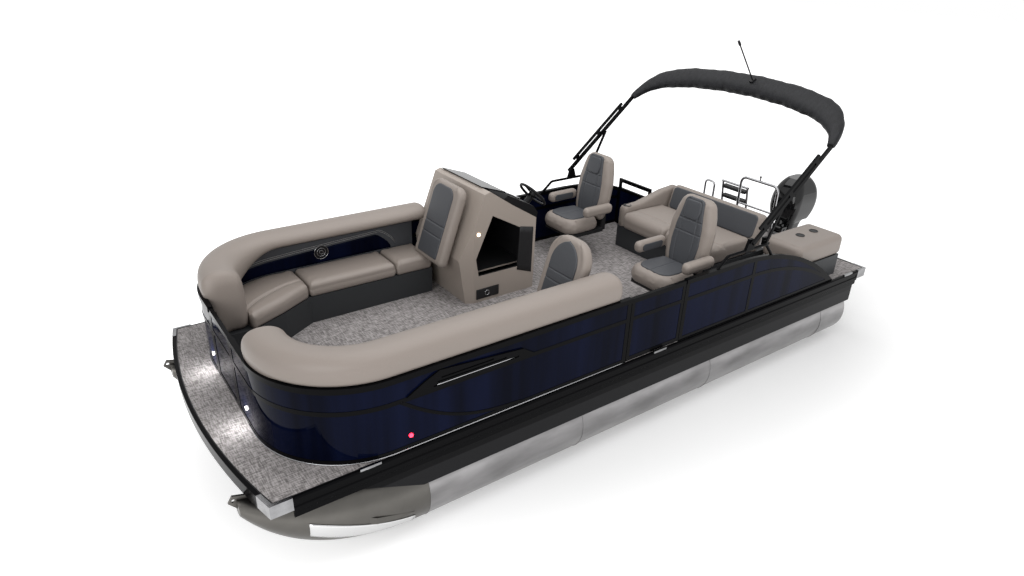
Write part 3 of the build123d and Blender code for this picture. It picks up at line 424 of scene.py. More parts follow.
def grid_faces(rows: int, cols: int, wrap: bool) -> Array:
    """Numbers the quads of a grid of points.

    Args:
        rows: Rows of points.
        cols: Points in a row.
        wrap: Whether each row closes on itself.

    Returns:
        Four corner numbers for each face.
    """
    i = np.arange(rows - 1)[:, None]
    j = np.arange(cols if wrap else cols - 1)[None, :]
    k = (j + 1) % cols
    quads = np.stack([i * cols + j, i * cols + k, (i + 1) * cols + k, (i + 1) * cols + j], axis=-1)
    return quads.reshape(-1, 4)


def put_mesh(name: str, points: Array, faces: Array, extra: Optional[Array] = None) -> Piece:
    """Makes a smooth mesh object whose faces point outwards.

    Args:
        name: Name of the piece.
        points: One point a row.
        faces: Quads as corner numbers.
        extra: Triangles as corner numbers, or none.

    Returns:
        The new object at the origin.
    """
    mesh = bpy.data.meshes.new(name)
    every = faces.tolist() + (extra.tolist() if extra is not None else [])
    mesh.from_pydata(points.tolist(), [], every)
    mesh.update()
    work = bmesh.new()
    work.from_mesh(mesh)
    bmesh.ops.recalc_face_normals(work, faces=work.faces)
    work.to_mesh(mesh)
    work.free()
    mesh.polygons.foreach_set("use_smooth", np.ones(len(mesh.polygons), dtype=bool))
    obj = bpy.data.objects.new(name, mesh)
    bpy.context.scene.collection.objects.link(obj)
    return obj


def plate(name: str, points: Array, thick: float) -> Piece:
    """Makes a thin plate on a grid of points.

    Args:
        name: Name of the piece.
        points: Points as (row, column, xyz).
        thick: Thickness, half of it on each side.

    Returns:
        The new object.
    """
    obj = put_mesh(name, points.reshape(-1, 3), grid_faces(*points.shape[:2], False))
    solid = obj.modifiers.new("thickness", "SOLIDIFY")
    solid.thickness = thick
    solid.offset = 0.0
    return obj


def closed_rows(name: str, rows: Array) -> Piece:
    """Skins closed rows of points and shuts both ends with a fan.

    Args:
        name: Name of the piece.
        rows: Points as (row, around, xyz).

    Returns:
        The new object.
    """
    n, m, _ = rows.shape
    points = np.concatenate([rows.reshape(-1, 3), rows[0].mean(0)[None], rows[-1].mean(0)[None]])
    j = np.arange(m)
    k = (j + 1) % m
    first = np.stack([k, j, np.full(m, n * m)], axis=-1)
    last = np.stack([(n - 1) * m + j, (n - 1) * m + k, np.full(m, n * m + 1)], axis=-1)
    return put_mesh(name, points, grid_faces(n, m, True), np.concatenate([first, last]))


def tube(name: str, path: Array, radius: float, around: int) -> Piece:
    """Carries a circle along a path.

    The frame at each point is the path's tangent, a side vector square to it and to the vertical
    where that is defined, and their cross product.

    Args:
        name: Name of the piece.
        path: Points of the centre line.
        radius: Radius of the circle.
        around: Points on the circle.

    Returns:
        The closed tube.
    """
    tangent = unit(np.gradient(path, axis=0))
    lead = np.where(np.abs(tangent[:, 2:3]) < 0.92, UP, FORE)
    side = unit(np.cross(tangent, lead))
    up = np.cross(side, tangent)
    turn = circle(around)[None, :, None]
    ring = np.cos(turn) * side[:, None, :] + np.sin(turn) * up[:, None, :]
    return closed_rows(name, path[:, None, :] + radius * ring)


def strip(name: str, path: Array, wide: float, out: Array, thick: float) -> Piece:
    """Carries a flat rounded section along a path.

    Args:
        name: Name of the piece.
        path: Points of the middle line.
        wide: Width of the strip.
        out: Direction of its thickness.
        thick: Thickness.

    Returns:
        The strip.
    """
    tangent = unit(np.gradient(path, axis=0))
    across = unit(np.cross(tangent, out))
    turn = circle(16)
    a = squared(np.cos(turn), 0.5) * 0.5 * wide
    b = squared(np.sin(turn), 0.5) * 0.5 * thick
    rows = path[:, None, :] + a[None, :, None] * across[:, None, :] + b[None, :, None] * out
    return closed_rows(name, rows)


def hoop(name: str, centre: Array, axis: Array, radius: float, wire: float) -> Piece:
    """Makes a torus: a small circle carried round a big one.

    Args:
        name: Name of the piece.
        centre: Middle of the big circle.
        axis: Direction square to it.
        radius: Radius of the big circle.
        wire: Radius of the small circle.

    Returns:
        The torus.
    """
    axis, side, up = square_to(axis)
    many, few = 48, 10
    big, small = circle(many)[:, None, None], circle(few)[None, :, None]
    out = np.cos(big) * side + np.sin(big) * up
    points = centre + (radius + wire * np.cos(small)) * out + wire * np.sin(small) * axis
    i, j = np.arange(many)[:, None], np.arange(few)[None, :]
    k, m = (i + 1) % many, (j + 1) % few
    quads = np.stack([i * few + j, i * few + m, k * few + m, k * few + j], axis=-1).reshape(-1, 4)
    return put_mesh(name, points.reshape(-1, 3), quads)


def disc(
    name: str, centre: Array, axis: Array, radius: float, thick: float, dome: float = 0.0
) -> Piece:
    """Makes a round plate as a profile turned about its axis.

    Its face is raised by dome times (1 - r squared) over the share r of the radius.

    Args:
        name: Name of the piece.
        centre: Middle of its back.
        axis: Direction of its face.
        radius: Radius.
        thick: Thickness at the rim.
        dome: Rise of the face's middle.

    Returns:
        The disc.
    """
    axis, side, up = square_to(axis)
    reach = np.array([0.02, 0.98, 1.0, 1.0, 0.98, 0.7, 0.4, 0.02])
    high = np.array([0.0, 0.0, 0.04, 0.9, 1.0, 1.0, 1.0, 1.0])
    high = high * thick + dome * (1.0 - reach**2) * (high == 1.0)
    turn = circle(32)[:, None]
    out = np.cos(turn) * side + np.sin(turn) * up
    rows = centre + radius * reach[:, None, None] * out[None] + high[:, None, None] * axis
    return closed_rows(name, rows)


def bezier(*knots: Sequence[float], count: int = 40) -> Array:
    """Draws a Bezier curve of any order by repeated linear blends.

    Args:
        knots: Control points measured from the stern edge.
        count: Points on the curve.

    Returns:
        The curve.
    """
    points = line(*knots)
    t = np.linspace(0.0, 1.0, count)[:, None, None]
    level = np.broadcast_to(points[None], (count, *points.shape))
    while level.shape[1] > 1:
        level = (1.0 - t) * level[:, :-1] + t * level[:, 1:]
    return level[:, 0]


def fence_runs(aft: float, end: float) -> Array:
    """Gives the lengths of a line along the fence: its side, its arc and its bow face."""
    return np.array([ARC_START - aft, 0.5 * np.pi * ARC_MEAN, ARC_STOP - end])


def fence_line(inset: float, aft: float, end: float, side: int, share: Array) -> Array:
    """Follows the fence in plan: straight side, bow arc, then along the bow face.

    Args:
        inset: Distance inside the fence's outer face.
        aft: Where the line starts, from the stern edge.
        end: Distance of its bow end from the middle line.
        side: 1 for port, -1 for starboard.
        share: Shares of the line's length.

    Returns:
        Points at height zero, with the same share of the line for every inset.
    """
    half, bow, radius = FENCE_HALF - inset, FENCE_BOW - inset, FENCE_TURN - inset
    start = bow - radius
    run = fence_runs(aft, end)
    stop = np.cumsum(run) / run.sum()
    s0 = np.clip(share / stop[0], 0.0, 1.0)
    s1 = np.clip((share - stop[0]) / (stop[1] - stop[0]), 0.0, 1.0)
    s2 = np.clip((share - stop[1]) / (1.0 - stop[1]), 0.0, 1.0)
    angle = 0.5 * np.pi * (1.0 - s1)
    x = np.where(s1 <= 0.0, aft + (start - aft) * s0, start + radius * np.cos(angle))
    y = np.where(s1 <= 0.0, half, half - radius + radius * np.sin(angle))
    y = np.where(s2 > 0.0, half - radius + (end - half + radius) * s2, y)
    return np.stack([x + STERN, side * y, np.zeros(len(share))], axis=-1)


# Padding


@dataclass
class Stuffing:
    """Fills cushions by one short cloth run with air pressure and no weight.

    Attributes:
        frames: Length of the run.
        pressure: Air pressure in each cushion.
        cap: Furthest a point may move.
        mass: Weight of a point.
        stretch: Stiffness against stretching and squeezing.
        shear: Stiffness against shearing.
        bend: Stiffness against bending.
        waiting: Cushions that wait for the run, with their held points.
    """

    frames: int = 12
    pressure: float = 4.0
    cap: float = 0.006
    mass: float = 0.3
    stretch: float = 8.0
    shear: float = 4.0
    bend: float = 0.5
    waiting: list = field(default_factory=list)

    def add(self, obj: Piece, held: Array) -> None:
        """Keeps a cushion for the run, with the points that stay where they are."""
        self.waiting.append((obj, held))

    def prepare(self, obj: Piece, held: Array) -> None:
        """Sets a cushion up as cloth.

        Args:
            obj: The cushion.
            held: A mask of the points that stay where they are.
        """
        group = obj.vertex_groups.new(name="held")
        group.add(np.flatnonzero(held).tolist(), 1.0, "REPLACE")
        cloth = obj.modifiers.new("stuffing", "CLOTH")
        cloth.settings.vertex_group_mass = "held"
        cloth.settings.quality = 4
        cloth.settings.mass = self.mass
        cloth.settings.tension_stiffness = self.stretch
        cloth.settings.compression_stiffness = self.stretch
        cloth.settings.shear_stiffness = self.shear
        cloth.settings.bending_stiffness = self.bend
        cloth.settings.use_pressure = True
        cloth.settings.uniform_pressure_force = self.pressure
        cloth.settings.effector_weights.gravity = 0.0
        cloth.collision_settings.use_collision = False
        cloth.point_cache.frame_start = 1
        cloth.point_cache.frame_end = self.frames

    def keep(self, obj: Piece, graph: bpy.types.Depsgraph) -> None:
        """Moves a cushion's points as the run did, up to the cap, and clears the cloth.

        Args:
            obj: The cushion.
            graph: The evaluated scene.
        """
        filled = obj.evaluated_get(graph).to_mesh()
        before = np.empty(len(obj.data.vertices) * 3)
        after = np.empty_like(before)
        obj.data.vertices.foreach_get("co", before)
        filled.vertices.foreach_get("co", after)
        step = (after - before).reshape(-1, 3)
        far = np.linalg.norm(step, axis=1, keepdims=True)
        step = step * np.minimum(1.0, self.cap / np.maximum(far, TINY))
        obj.modifiers.remove(obj.modifiers["stuffing"])
        obj.vertex_groups.clear()
        obj.data.vertices.foreach_set("co", before + step.ravel())
        obj.data.update()
        LOG.info("%s filled, moved up to %.1f mm", obj.name, 1000.0 * float(far.max()))

    def run(self) -> None:
        """Runs every waiting cushion together and keeps the capped result."""
        if not self.waiting:
            return
        scene = bpy.context.scene
        for obj, held in self.waiting:
            self.prepare(obj, held)
        for number in range(1, self.frames + 1):
            scene.frame_set(number)
        graph = bpy.context.evaluated_depsgraph_get()
        for obj, _ in self.waiting:
            self.keep(obj, graph)
        scene.frame_set(1)
        self.waiting.clear()


STUFFING = Stuffing()


@dataclass
class Pad:
    """A cushion between two edge lines: crowned top, rounded edges, sewn grooves.

    The section is a rounded box of the width between the lines and the pad's thickness, carried
    from the first pair of points to the last and drawn in near both ends by a quarter circle.
    The top is raised by crown times (1 - s squared) times (1 - t to the fourth) over the shares
    s across and t along, and each seam lowers it by a bell curve.

    Attributes:
        name: Name of the piece.
        left: One edge line, at the bottom of the pad.
        right: The other edge line.
        thick: Thickness.
        radius: Radius of the long edges.
        crown: Rise of the top's middle.
        end: Radius of the rounding of the thickness at both ends.
        normal: Direction of the pad's thickness.
        cross: Shares along the pad of seams that run across it.
        along: Shares across the pad of seams that run along it.
        groove: Depth of a seam.
        plan: Corner radius seen from above, at the first and the last end.
        finish: Surface.
        puffed: Whether the cloth run fills it.
        step: Size of the faces.
        least: Least half width and half height.
    """

    name: str
    left: Array
    right: Array
    thick: float
    radius: float
    crown: float
    end: float
    normal: Sequence[float] = (0.0, 0.0, 1.0)
    cross: tuple[float, ...] = ()
    along: tuple[float, ...] = ()
    groove: float = 0.010
    plan: tuple[float, float] = (0.0, 0.0)
    finish: Finish = TAUPE
    puffed: bool = False
    step: float = 0.02
    least: float = 0.004

    def shares(self, length: float) -> Array:
        """Places the rows: even steps, closer at the ends and at each seam.

        Args:
            length: Length of the pad.

        Returns:
            Sorted shares from 0 to 1.
        """
        even = np.linspace(0.0, 1.0, max(6, int(length / self.step)))
        turn = 1.0 - np.cos(np.linspace(0.0, 0.5 * np.pi, 12))
        first, last = (min(max(self.end, plan) / length, 0.45) * turn for plan in self.plan)
        near = np.linspace(-SEAM_REACH, SEAM_REACH, 9) / length
        parts = [even, first, 1.0 - last] + [seam + near for seam in self.cross]
        every = np.unique(np.clip(np.concatenate(parts), 0.0, 1.0).round(5))
        keep = np.concatenate([[True], np.diff(every) > 0.0012 / length])
        return every[keep]

    def section(self, half: Array, high: Array, corner: Array) -> tuple[Array, Array, Array, Array]:
        """Gives the rounded box at every row.

        Args:
            half: Half width at each row.
            high: Half height at each row.
            corner: Corner radius at each row.

        Returns:
            Place across, place up, share across the top and a mask of the top.
        """
        turn = np.linspace(0.0, 0.5 * np.pi, 7)
        wide = float(np.median(half)) * 2.0
        count = max(4, int(wide / self.step))
        near = np.linspace(-SEAM_REACH, SEAM_REACH, 9) * 2.0 / wide
        parts = [np.linspace(-1.0, 1.0, count + 1)[1:-1]] + [2.0 * seam - 1.0 + near for seam in self.along]
        flat = np.unique(np.concatenate(parts).round(5))
        flat = flat[np.abs(flat) < 0.995]
        side = np.linspace(-1.0, 1.0, 6)[1:-1]
        a, b, r = (half - corner)[:, None], (high - corner)[:, None], corner[:, None]
        cos, sin = np.cos(turn)[None], np.sin(turn)[None]
        one, tall = np.ones_like(flat)[None], np.ones_like(side)[None]
        right = [a + r * cos, a * flat[::-1][None], -a - r * sin, -(a + r) * tall]
        left = [-a - r * cos, a * flat[None], a + r * sin, (a + r) * tall]
        top = [b + r * sin, (b + r) * one, b + r * cos, b * side[::-1][None]]
        foot = [-b - r * sin, -(b + r) * one, -b - r * cos, b * side[None]]
        x = np.concatenate(right + left, axis=1)
        z = np.concatenate(top + foot, axis=1)
        share = x / np.maximum(half[:, None], 1e-6)
        crest = np.clip((z - b) / np.maximum(r, 1e-6), 0.0, 1.0)
        return x, z, share, crest

    def sewn(self, share: Array, s: Array, length: float, half: Array) -> Array:
        """Gives the depth of the seams as a share of the groove.

        Args:
            share: Share along the pad at each row.
            s: Share across it at each point, from -1 to 1.
            length: Length of the pad.
            half: Half width at each row.

        Returns:
            1 on a seam and 0 away from it, for each point.
        """
        depth = np.zeros_like(s)
        for seam in self.cross:
            depth = np.maximum(depth, np.exp(-(((share[:, None] - seam) * length / SEAM_WIDTH) ** 2)))
        inside = (np.minimum(share, 1.0 - share) * length)[:, None] > 2.0 * SEAM_WIDTH
        for seam in self.along:
            gap = (0.5 * (s + 1.0) - seam) * 2.0 * half[:, None]
            depth = np.maximum(depth, np.exp(-((gap / SEAM_WIDTH) ** 2)) * inside)
        return depth

    def build(self) -> Piece:
        """Works out the cushion and gives its object."""
        even = np.linspace(0.0, 1.0, 60)
        spine = 0.5 * (resample(self.left, even) + resample(self.right, even))
        length = float(np.linalg.norm(np.diff(spine, axis=0), axis=1).sum())
        share = self.shares(length)
        left, right = resample(self.left, share), resample(self.right, share)
        middle, wide = 0.5 * (left + right), right - left
        up = unit(np.array(self.normal, dtype=float))
        first, last = share * length, (1.0 - share) * length
        low = np.maximum(drawn(first, self.end), drawn(last, self.end))
        narrow = np.maximum(drawn(first, self.plan[0]), drawn(last, self.plan[1]))
        high = np.maximum(0.5 * self.thick - low, self.least)
        half = np.maximum(0.5 * np.linalg.norm(wide, axis=1) - np.maximum(low, narrow), self.least)
        corner = np.minimum(np.minimum(self.radius, high * 0.98), half * 0.98)
        x, z, s, crest = self.section(half, high, corner)
        t = (2.0 * share - 1.0)[:, None]
        lift = self.crown * (1.0 - s**2) * (1.0 - t**4)
        sewn = self.sewn(share, s, length, half)
        z = z + (lift - self.groove * sewn) * crest
        base = middle + up * (0.5 * self.thick)
        rows = base[:, None, :] + x[..., None] * unit(wide)[:, None, :] + z[..., None] * up
        obj = closed_rows(self.name, rows)
        if self.puffed:
            held = (z < 0.0) | ((sewn > 0.3) & (crest > 0.5))
            STUFFING.add(obj, np.concatenate([held.ravel(), [True, True]]))
        return obj


def dress(obj: Piece, finish: Skin, body: Body, *nodes: str) -> Piece:
    """Gives a piece its finish, its body and the nodes it stands for.

    Args:
        obj: The piece.
        finish: Its surface.
        body: The body that carries it.
        nodes: CAD nodes it replaces.

    Returns:
        The piece.
    """
    obj.data.materials.clear()
    obj.data.materials.append(finish.make())
    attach(obj, body.value)
    if nodes:
        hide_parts(*nodes)
    LOG.info("%s: %d faces", obj.name, len(obj.data.polygons))
    return obj


def place_pad(pad: Pad, body: Body, *nodes: str, fill: float = 0.75) -> Piece:
    """Args:
        pad: The cushion.
        body: The body that carries it.
        nodes: CAD nodes it replaces.
        fill: Not used.

    Returns:
        The piece.
    """
    obj = dress(pad.build(), pad.finish, body, *nodes)
    return obj


# Sub-assemblies


@dataclass
class Hull:
    """Finishes of the CAD nodes, by name.

    Attributes:
        finishes: The nodes with a finish of their own.
        words: Words in the names of the other nodes and the finishes they stand for.
        bevel: Rounding of the corner castings' edges.
    """

    finishes: tuple[tuple[Skin, str], ...] = (
        (TUBE, "tubes"),
        (NOSE, "tube_noses"),
        (MILL, "tube_brackets cross_members engine_pod"),
        (SATIN, "deck_panel chair_pedestals console_dash light_mast steering_wheel"),
        (FLOOR, "vinyl_floor"),
        (BLACK, "deck_rails side_accents bimini_tracks bimini_legs bimini_braces"),
        (CAST, "deck_castings"),
        (SKIRT, "side_skirts"),
        (WHITE, "lamps"),
        (BASE, "lounge_bases stern_base"),
        (CHARCOAL, "lounge_liners"),
        (SHELL, "console_shell"),
        (TINT, "windscreen"),
        (CHROME, "stern_rails ladder_rails"),
        (PLASTIC, "ladder_treads"),
        (COWL, "clamp_bracket swivel_bracket cowl motor_leg"),
        (STEEL, "propeller"),
    )
    words: tuple = (("panel", NAVY), ("frame", BLACK), ("insert", CHARCOAL), ("pan", PLASTIC))
    bevel: float = 0.016

    def finish_for(self, node: str) -> Skin:
        """Chooses a node's finish from its name where the table has none.

        Args:
            node: Name of the node.

        Returns:
            Its finish, taupe for the cushions that no word names.
        """
        for finish, nodes in self.finishes:
            if node in nodes.split():
                return finish
        for word, finish in self.words:
            if word in node:
                return finish
        return TAUPE

    def dress(self) -> None:
        """Gives every CAD node its material, and lamps and console their second ones."""
        for node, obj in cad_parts.items():
            obj.data.materials.clear()
            obj.data.materials.append(self.finish_for(node).make())
        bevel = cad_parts["deck_castings"].modifiers.new("rounded", "BEVEL")
        bevel.width = self.bevel
        bevel.segments = 3
        bevel.limit_method = "ANGLE"
        self.lamps(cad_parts["lamps"])
        self.console(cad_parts["console_shell"])

    def faces(self, obj: Piece) -> tuple[Array, Array]:
        """Reads the faces of a node.

        Args:
            obj: The node's object.

        Returns:
            Centres and normals of its faces in the row frame.
        """
        count = len(obj.data.polygons)
        centre, normal = np.empty(count * 3), np.empty(count * 3)
        obj.data.polygons.foreach_get("center", centre)
        obj.data.polygons.foreach_get("normal", normal)
        world = np.array(obj.matrix_world)
        centre = centre.reshape(-1, 3) @ world[:3, :3].T + world[:3, 3]
        return centre, unit(normal.reshape(-1, 3) @ world[:3, :3].T)

    def lamps(self, obj: Piece) -> None:
        """Makes the lamps red to port, green to starboard and white ahead.

        Args:
            obj: The lamps.
        """
        obj.data.materials.append(RED.make())
        obj.data.materials.append(GREEN.make())
        abreast = self.faces(obj)[0][:, 1]
        pick = np.where(abreast > LAMP_SIDE, 1, np.where(abreast < -LAMP_SIDE, 2, 0))
        obj.data.polygons.foreach_set("material_index", pick.astype(np.int32))

    def console(self, obj: Piece) -> None:
        """Makes the console black inside: faces that look towards the middle of the hollow.

        Args:
            obj: The console's shell.
        """
        obj.data.materials.append(PLASTIC.make())
        centre, normal = self.faces(obj)
        low, high = (np.array(corner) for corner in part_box("console_shell"))
        middle = 0.5 * (low + high) - 0.1 * UP
        inward = np.einsum("ij,ij->i", normal, middle - centre) > 0.02
        inside = np.all((centre > low + 0.012) & (centre < high - 0.004), axis=1)
        obj.data.polygons.foreach_set("material_index", (inward & inside).astype(np.int32))


@dataclass
class Trim:
    """Small fittings on both sides: weld rings, swoops, louvre strips, foot beads and strakes.

    Attributes:
        seams: Where the tubes' rings are welded, from the stern edge.
        face: Distance of the fence panels' face from the middle line.
        swoop: Control points of the swoop, as distance from the stern edge and height.
        louvre: The louvre strip's run, its distance from the middle line and its height.
        foot: Start, bow end and height of the bead at the fence's foot.
        nose: Start and length of the strake on the nose.
    """

    seams: tuple[float, ...] = (0.62, 2.45, 4.05, 5.50)
    face: float = 1.2665
    swoop: tuple = ((5.70, 1.245), (5.50, 1.08), (5.24, 0.905), (4.95, 0.895), (4.72, 0.880))
    louvre: tuple[float, float, float, float] = (4.80, 5.43, 1.275, 1.291)
    foot: Triple = (3.66, 0.42, 0.852)
    nose: tuple[float, float] = (5.62, 0.74)

    def build(self) -> None:
        """Puts the trim on both sides."""
        for side, word in SIDES:
            out = side * PORT
            for i, x in enumerate(self.seams):
                spot = at(x, side * TUBE_OFF, TUBE_AXIS)
                dress(hoop(f"{word}_weld_{i}", spot, FORE, TUBE_RADIUS + 0.001, 0.0035), TUBE, Body.BOAT)
            path = bezier(*[(x, side * self.face, z) for x, z in self.swoop])
            dress(strip(f"{word}_swoop", path, 0.026, out, 0.006), BLACK, Body.BOAT)
            aft, fore, off, high = self.louvre
            path = line(*[(x, side * off, high) for x in np.linspace(aft, fore, 12)])
            dress(strip(f"{word}_louvre_strip", path, 0.007, out, 0.006), CHROME, Body.BOAT)
            aft, end, high = self.foot
            path = fence_line(-0.002, aft, end, side, np.linspace(0.0, 1.0, 70)) + high * UP
            dress(tube(f"{word}_foot_bead", path, 0.004, 8), CHROME, Body.BOAT)
            self.strake(word, side)

    def strake(self, word: str, side: int) -> None:
        """Lays the polished strake over the nose's surface by straight lines inwards.

        The lines lie between two angles about the tube's axis: a lower edge that sags by a sine and
        an upper edge that rises by a power of the share along the strake.

        Args:
            word: Name of the side.
            side: 1 for port, -1 for starboard.
        """
        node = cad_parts["tube_noses"]
        world = node.matrix_world
        back = world.inverted()
        u = np.linspace(0.0, 1.0, 26)
        v = np.linspace(0.0, 1.0, 9)
        x = self.nose[0] + u * self.nose[1]
        low = -0.62 - 0.10 * np.sin(np.pi * u) + 0.25 * u
        high = -0.36 + 0.50 * u**1.2
        angle = low[:, None] + (high - low)[:, None] * v[None, :]
        rise = TUBE_AXIS + 0.23 * np.clip((x - 5.5) / 1.2, 0.0, 1.0) ** 2
        points = np.empty((len(u), len(v), 3))
        for i, j in np.ndindex(len(u), len(v)):
            ray = np.array([0.0, side * np.cos(angle[i, j]), np.sin(angle[i, j])])
            start = at(x[i], side * TUBE_OFF, rise[i]) + 0.6 * ray
            aim = (back.to_3x3() @ Vector(-ray)).normalized()
            hit, spot, _, _ = node.ray_cast(back @ Vector(start), aim)
            here = np.array(world @ spot) if hit else start - 0.4 * ray
            points[i, j] = here + 0.004 * ray
        dress(plate(f"{word}_strake", points, 0.006), POLISHED, Body.BOAT)


# Knots of the backrest roll's sections, as distance inside the fence and height
ROLL_TOP = [(0.014, 1.455), (0.010, 1.530), (0.030, 1.592), (0.085, 1.630), (0.165, 1.636), (0.238, 1.616)]
ROLL_RAIL = [(0.276, 1.585), (0.284, 1.548), (0.262, 1.518), (0.200, 1.490), (0.130, 1.462), (0.060, 1.453)]
ROLL_OVER = [(0.298, 1.560), (0.316, 1.480), (0.290, 1.390), (0.220, 1.300), (0.130, 1.245), (0.070, 1.453)]
ROLL_FULL = [(0.298, 1.560), (0.316, 1.440), (0.318, 1.280), (0.300, 1.120), (0.190, 1.106), (0.060, 1.110)]


@dataclass(frozen=True)
class Chaise:
    """Where a chaise back stands.

    Attributes:
        name: Name of the piece.
        foot: Front of its foot, from the stern edge.
        head: Front of its head.
        top: Height of its head.
        first: Its edge to starboard.
        last: Its edge to port.
        turn: Radius of its upper corners.
    """

    name: str
    foot: float
    head: float
    top: float
    first: float
    last: float
    turn: float


@dataclass
class BowLounges:
    """Backrest rolls, seat cushions, chaise backs and the recessed side panels.

    Attributes:
        seat_low: Height under the seat cushions.
        seat_thick: Their thickness.
        seat_sides: Distances of their edges from the middle line.
        seat_fore: Where the straight seats end.
        rows: For each side the start of its roll and of its seats.
        end: Distance of a roll's bow end from the middle line.
        tip: Radius of a roll's ends.
        chaises: The two chaise backs.
        chaise_low: Height of their foot.
    """

    seat_low: float = 1.100
    seat_thick: float = 0.128
    seat_sides: tuple[float, float] = (0.736, 1.146)
    seat_fore: float = 5.56
    rows: tuple = ((1, "port", 3.71, 3.80), (-1, "starboard", 4.22, 4.33))
    end: float = 0.452
    tip: float = 0.07
    chaises: tuple[Chaise, ...] = (
        Chaise("starboard_chaise", 4.440, 4.190, 1.960, -0.944, -0.430, 0.10),
        Chaise("port_chaise", 4.010, 3.830, 1.815, 0.455, 0.944, 0.20)
    )
    chaise_low: float = 1.237

    def roll(self, name: str, side: int, aft: float) -> Piece:
        """The long backrest roll on the fence, which runs down to the seat base at the bow gate.

        Its section is a closed smooth curve through twelve points (distance inside the fence,
        height), each span a cubic of its four nearest points. Three such sections are blended
        along the fence line: a roll that sits on the rail, one whose inner face leans down over
        the side panel, and the full-height end.

        Args:
            name: Name of the piece.
            side: 1 for port, -1 for starboard.
            aft: Where it starts.

        Returns:
            The roll.
        """
        rail, over, full = (np.array(ROLL_TOP + rest) for rest in (ROLL_RAIL, ROLL_OVER, ROLL_FULL))
        length = fence_runs(aft, self.end).sum()
        tip = self.tip / length * (1.0 - np.cos(np.linspace(0.0, 0.5 * np.pi, 10)))
        share = np.unique(np.concatenate([np.linspace(0, 1, 110), tip, 1 - tip]).round(6))
        left = ((1.0 - share) * length)[:, None, None]
        knots = rail + (over - rail) * eased((1.05 - left) / (1.05 - 0.40))
        knots = knots + (full - knots) * eased((0.42 - left) / (0.42 - 0.20))
        t = np.linspace(0.0, 1.0, 5)[:-1][None, None, :, None]
        p0, p1, p2, p3 = (np.roll(knots, k, axis=1)[:, :, None, :] for k in (1, 0, -1, -2))
        bend = 2 * p0 - 5 * p1 + 4 * p2 - p3 + t * (3 * (p1 - p2) + p3 - p0)
        ring = (p1 + 0.5 * t * (p2 - p0 + t * bend)).reshape(len(share), -1, 2)
        away = np.minimum(share, 1.0 - share) * length
        shrink = (1.0 - drawn(away, self.tip) / 0.13)[:, None, None]
        middle = ring.mean(1, keepdims=True)
        ring = middle + (ring - middle) * shrink
        deep = full[:, 0].max()
        outer = fence_line(0.0, aft, self.end, side, share)
        inward = (fence_line(deep, aft, self.end, side, share) - outer) / deep
        rows = outer[:, None, :] + ring[..., :1] * inward[:, None, :]
        rows[..., 2] = ring[..., 1]
        return closed_rows(name, rows)

    def seats(self, word: str, side: int, aft: float) -> list[Pad]:
        """Makes the seat cushions of one side, the last one round the bow corner.

        Args:
            word: Name of the side.
            side: 1 for port, -1 for starboard.
            aft: Where they start.

        Returns:
            Three cushions.
        """
        low = self.seat_low
        sewn = {"thick": self.seat_thick, "radius": 0.036, "puffed": True}
        cuts = (aft, aft + 0.31 * (self.seat_fore - aft), self.seat_fore)
        pads = []
        for i, (a, b) in enumerate(zip(cuts[:-1], cuts[1:])):
            inner, outer = (
                line((a + 0.003, side * y, low), (b - 0.003, side * y, low)) for y in self.seat_sides
            )
            pads.append(Pad(f"{word}_seat_{i}", inner, outer, crown=0.007, end=0.032, **sewn))
        angle = np.linspace(0.5 * np.pi, 0.32, 24)
        arc = np.stack([ARC_START + 0.60 * np.cos(angle), ARC_STOP + 0.60 * np.sin(angle)], axis=-1)
        outer_plan = np.concatenate([[[5.566, 1.146]], arc, [[6.150, 0.655]]])
        inner_plan = ((5.566, 0.736), (5.84, 0.572), (6.12, 0.436), (6.148, 0.440))
        inner, outer = (line(*[(x, side * y, low) for x, y in plan]) for plan in (inner_plan, outer_plan))
        pads.append(Pad(f"{word}_seat_2", inner, outer, crown=0.006, along=(0.36,), end=0.030, **sewn))
        return pads

    def build(self) -> None:
        """Puts the cushions and side panels in."""
        for side, word, top_aft, aft in self.rows:
            roll = dress(self.roll(f"{word}_roll", side, top_aft), TAUPE, Body.BOAT, "lounge_bolsters")
            for pad in self.seats(word, side, aft):
                place_pad(pad, Body.BOAT, "lounge_seats")
            self.panel(word, side, aft)
        for chaise in self.chaises:
            self.back(chaise)

    def panel(self, word: str, side: int, aft: float) -> None:
        """The dark recess in a lounge's side with its speaker and a stitched line above.

        The recess's upper edge rises by a power of the share along it and falls to its bow end.

        Args:
            word: Name of the side.
            side: 1 for port, -1 for starboard.
            aft: Where the lounge starts.
        """
        low, inset, end = 1.225, 0.121, 0.45
        share = np.linspace(0.0, 1.0, 60)
        plan = fence_line(inset - 0.0015, aft, end, side, 0.10 + 0.78 * share)
        fall = np.clip(1.0 - share, 0.0, 1.0) ** 0.45
        high = 1.240 + 0.155 * np.clip(share / 0.08, 0.0, 1.0) ** 0.7 * fall
        z = low + (high - low)[:, None] * np.linspace(0.0, 1.0, 8)[None, :]
        face = np.concatenate([np.repeat(plan[:, None, :2], 8, axis=1), z[..., None]], axis=-1)
        dress(plate(f"{word}_recess", face, 0.003), NAVY, Body.BOAT)
        above = fence_line(inset, aft, end, side, 0.08 + 0.80 * share)
        above[:, 2] = high + 0.022
        for i in range(2):
            dress(tube(f"{word}_stitch_{i}", above + 0.016 * i * UP, 0.0014, 6), STITCH, Body.BOAT)
        spot = at(5.28, side * (FENCE_HALF - inset), 1.330)
        inward = -side * PORT
        dress(disc(f"{word}_speaker", spot, inward, 0.062, 0.006, 0.004), SATIN, Body.BOAT)
        for i, radius in enumerate((0.066, 0.040, 0.018)):
            ring = hoop(f"{word}_speaker_ring_{i}", spot + inward * 0.007, inward, radius, 0.0035)
            dress(ring, CHROME, Body.BOAT)

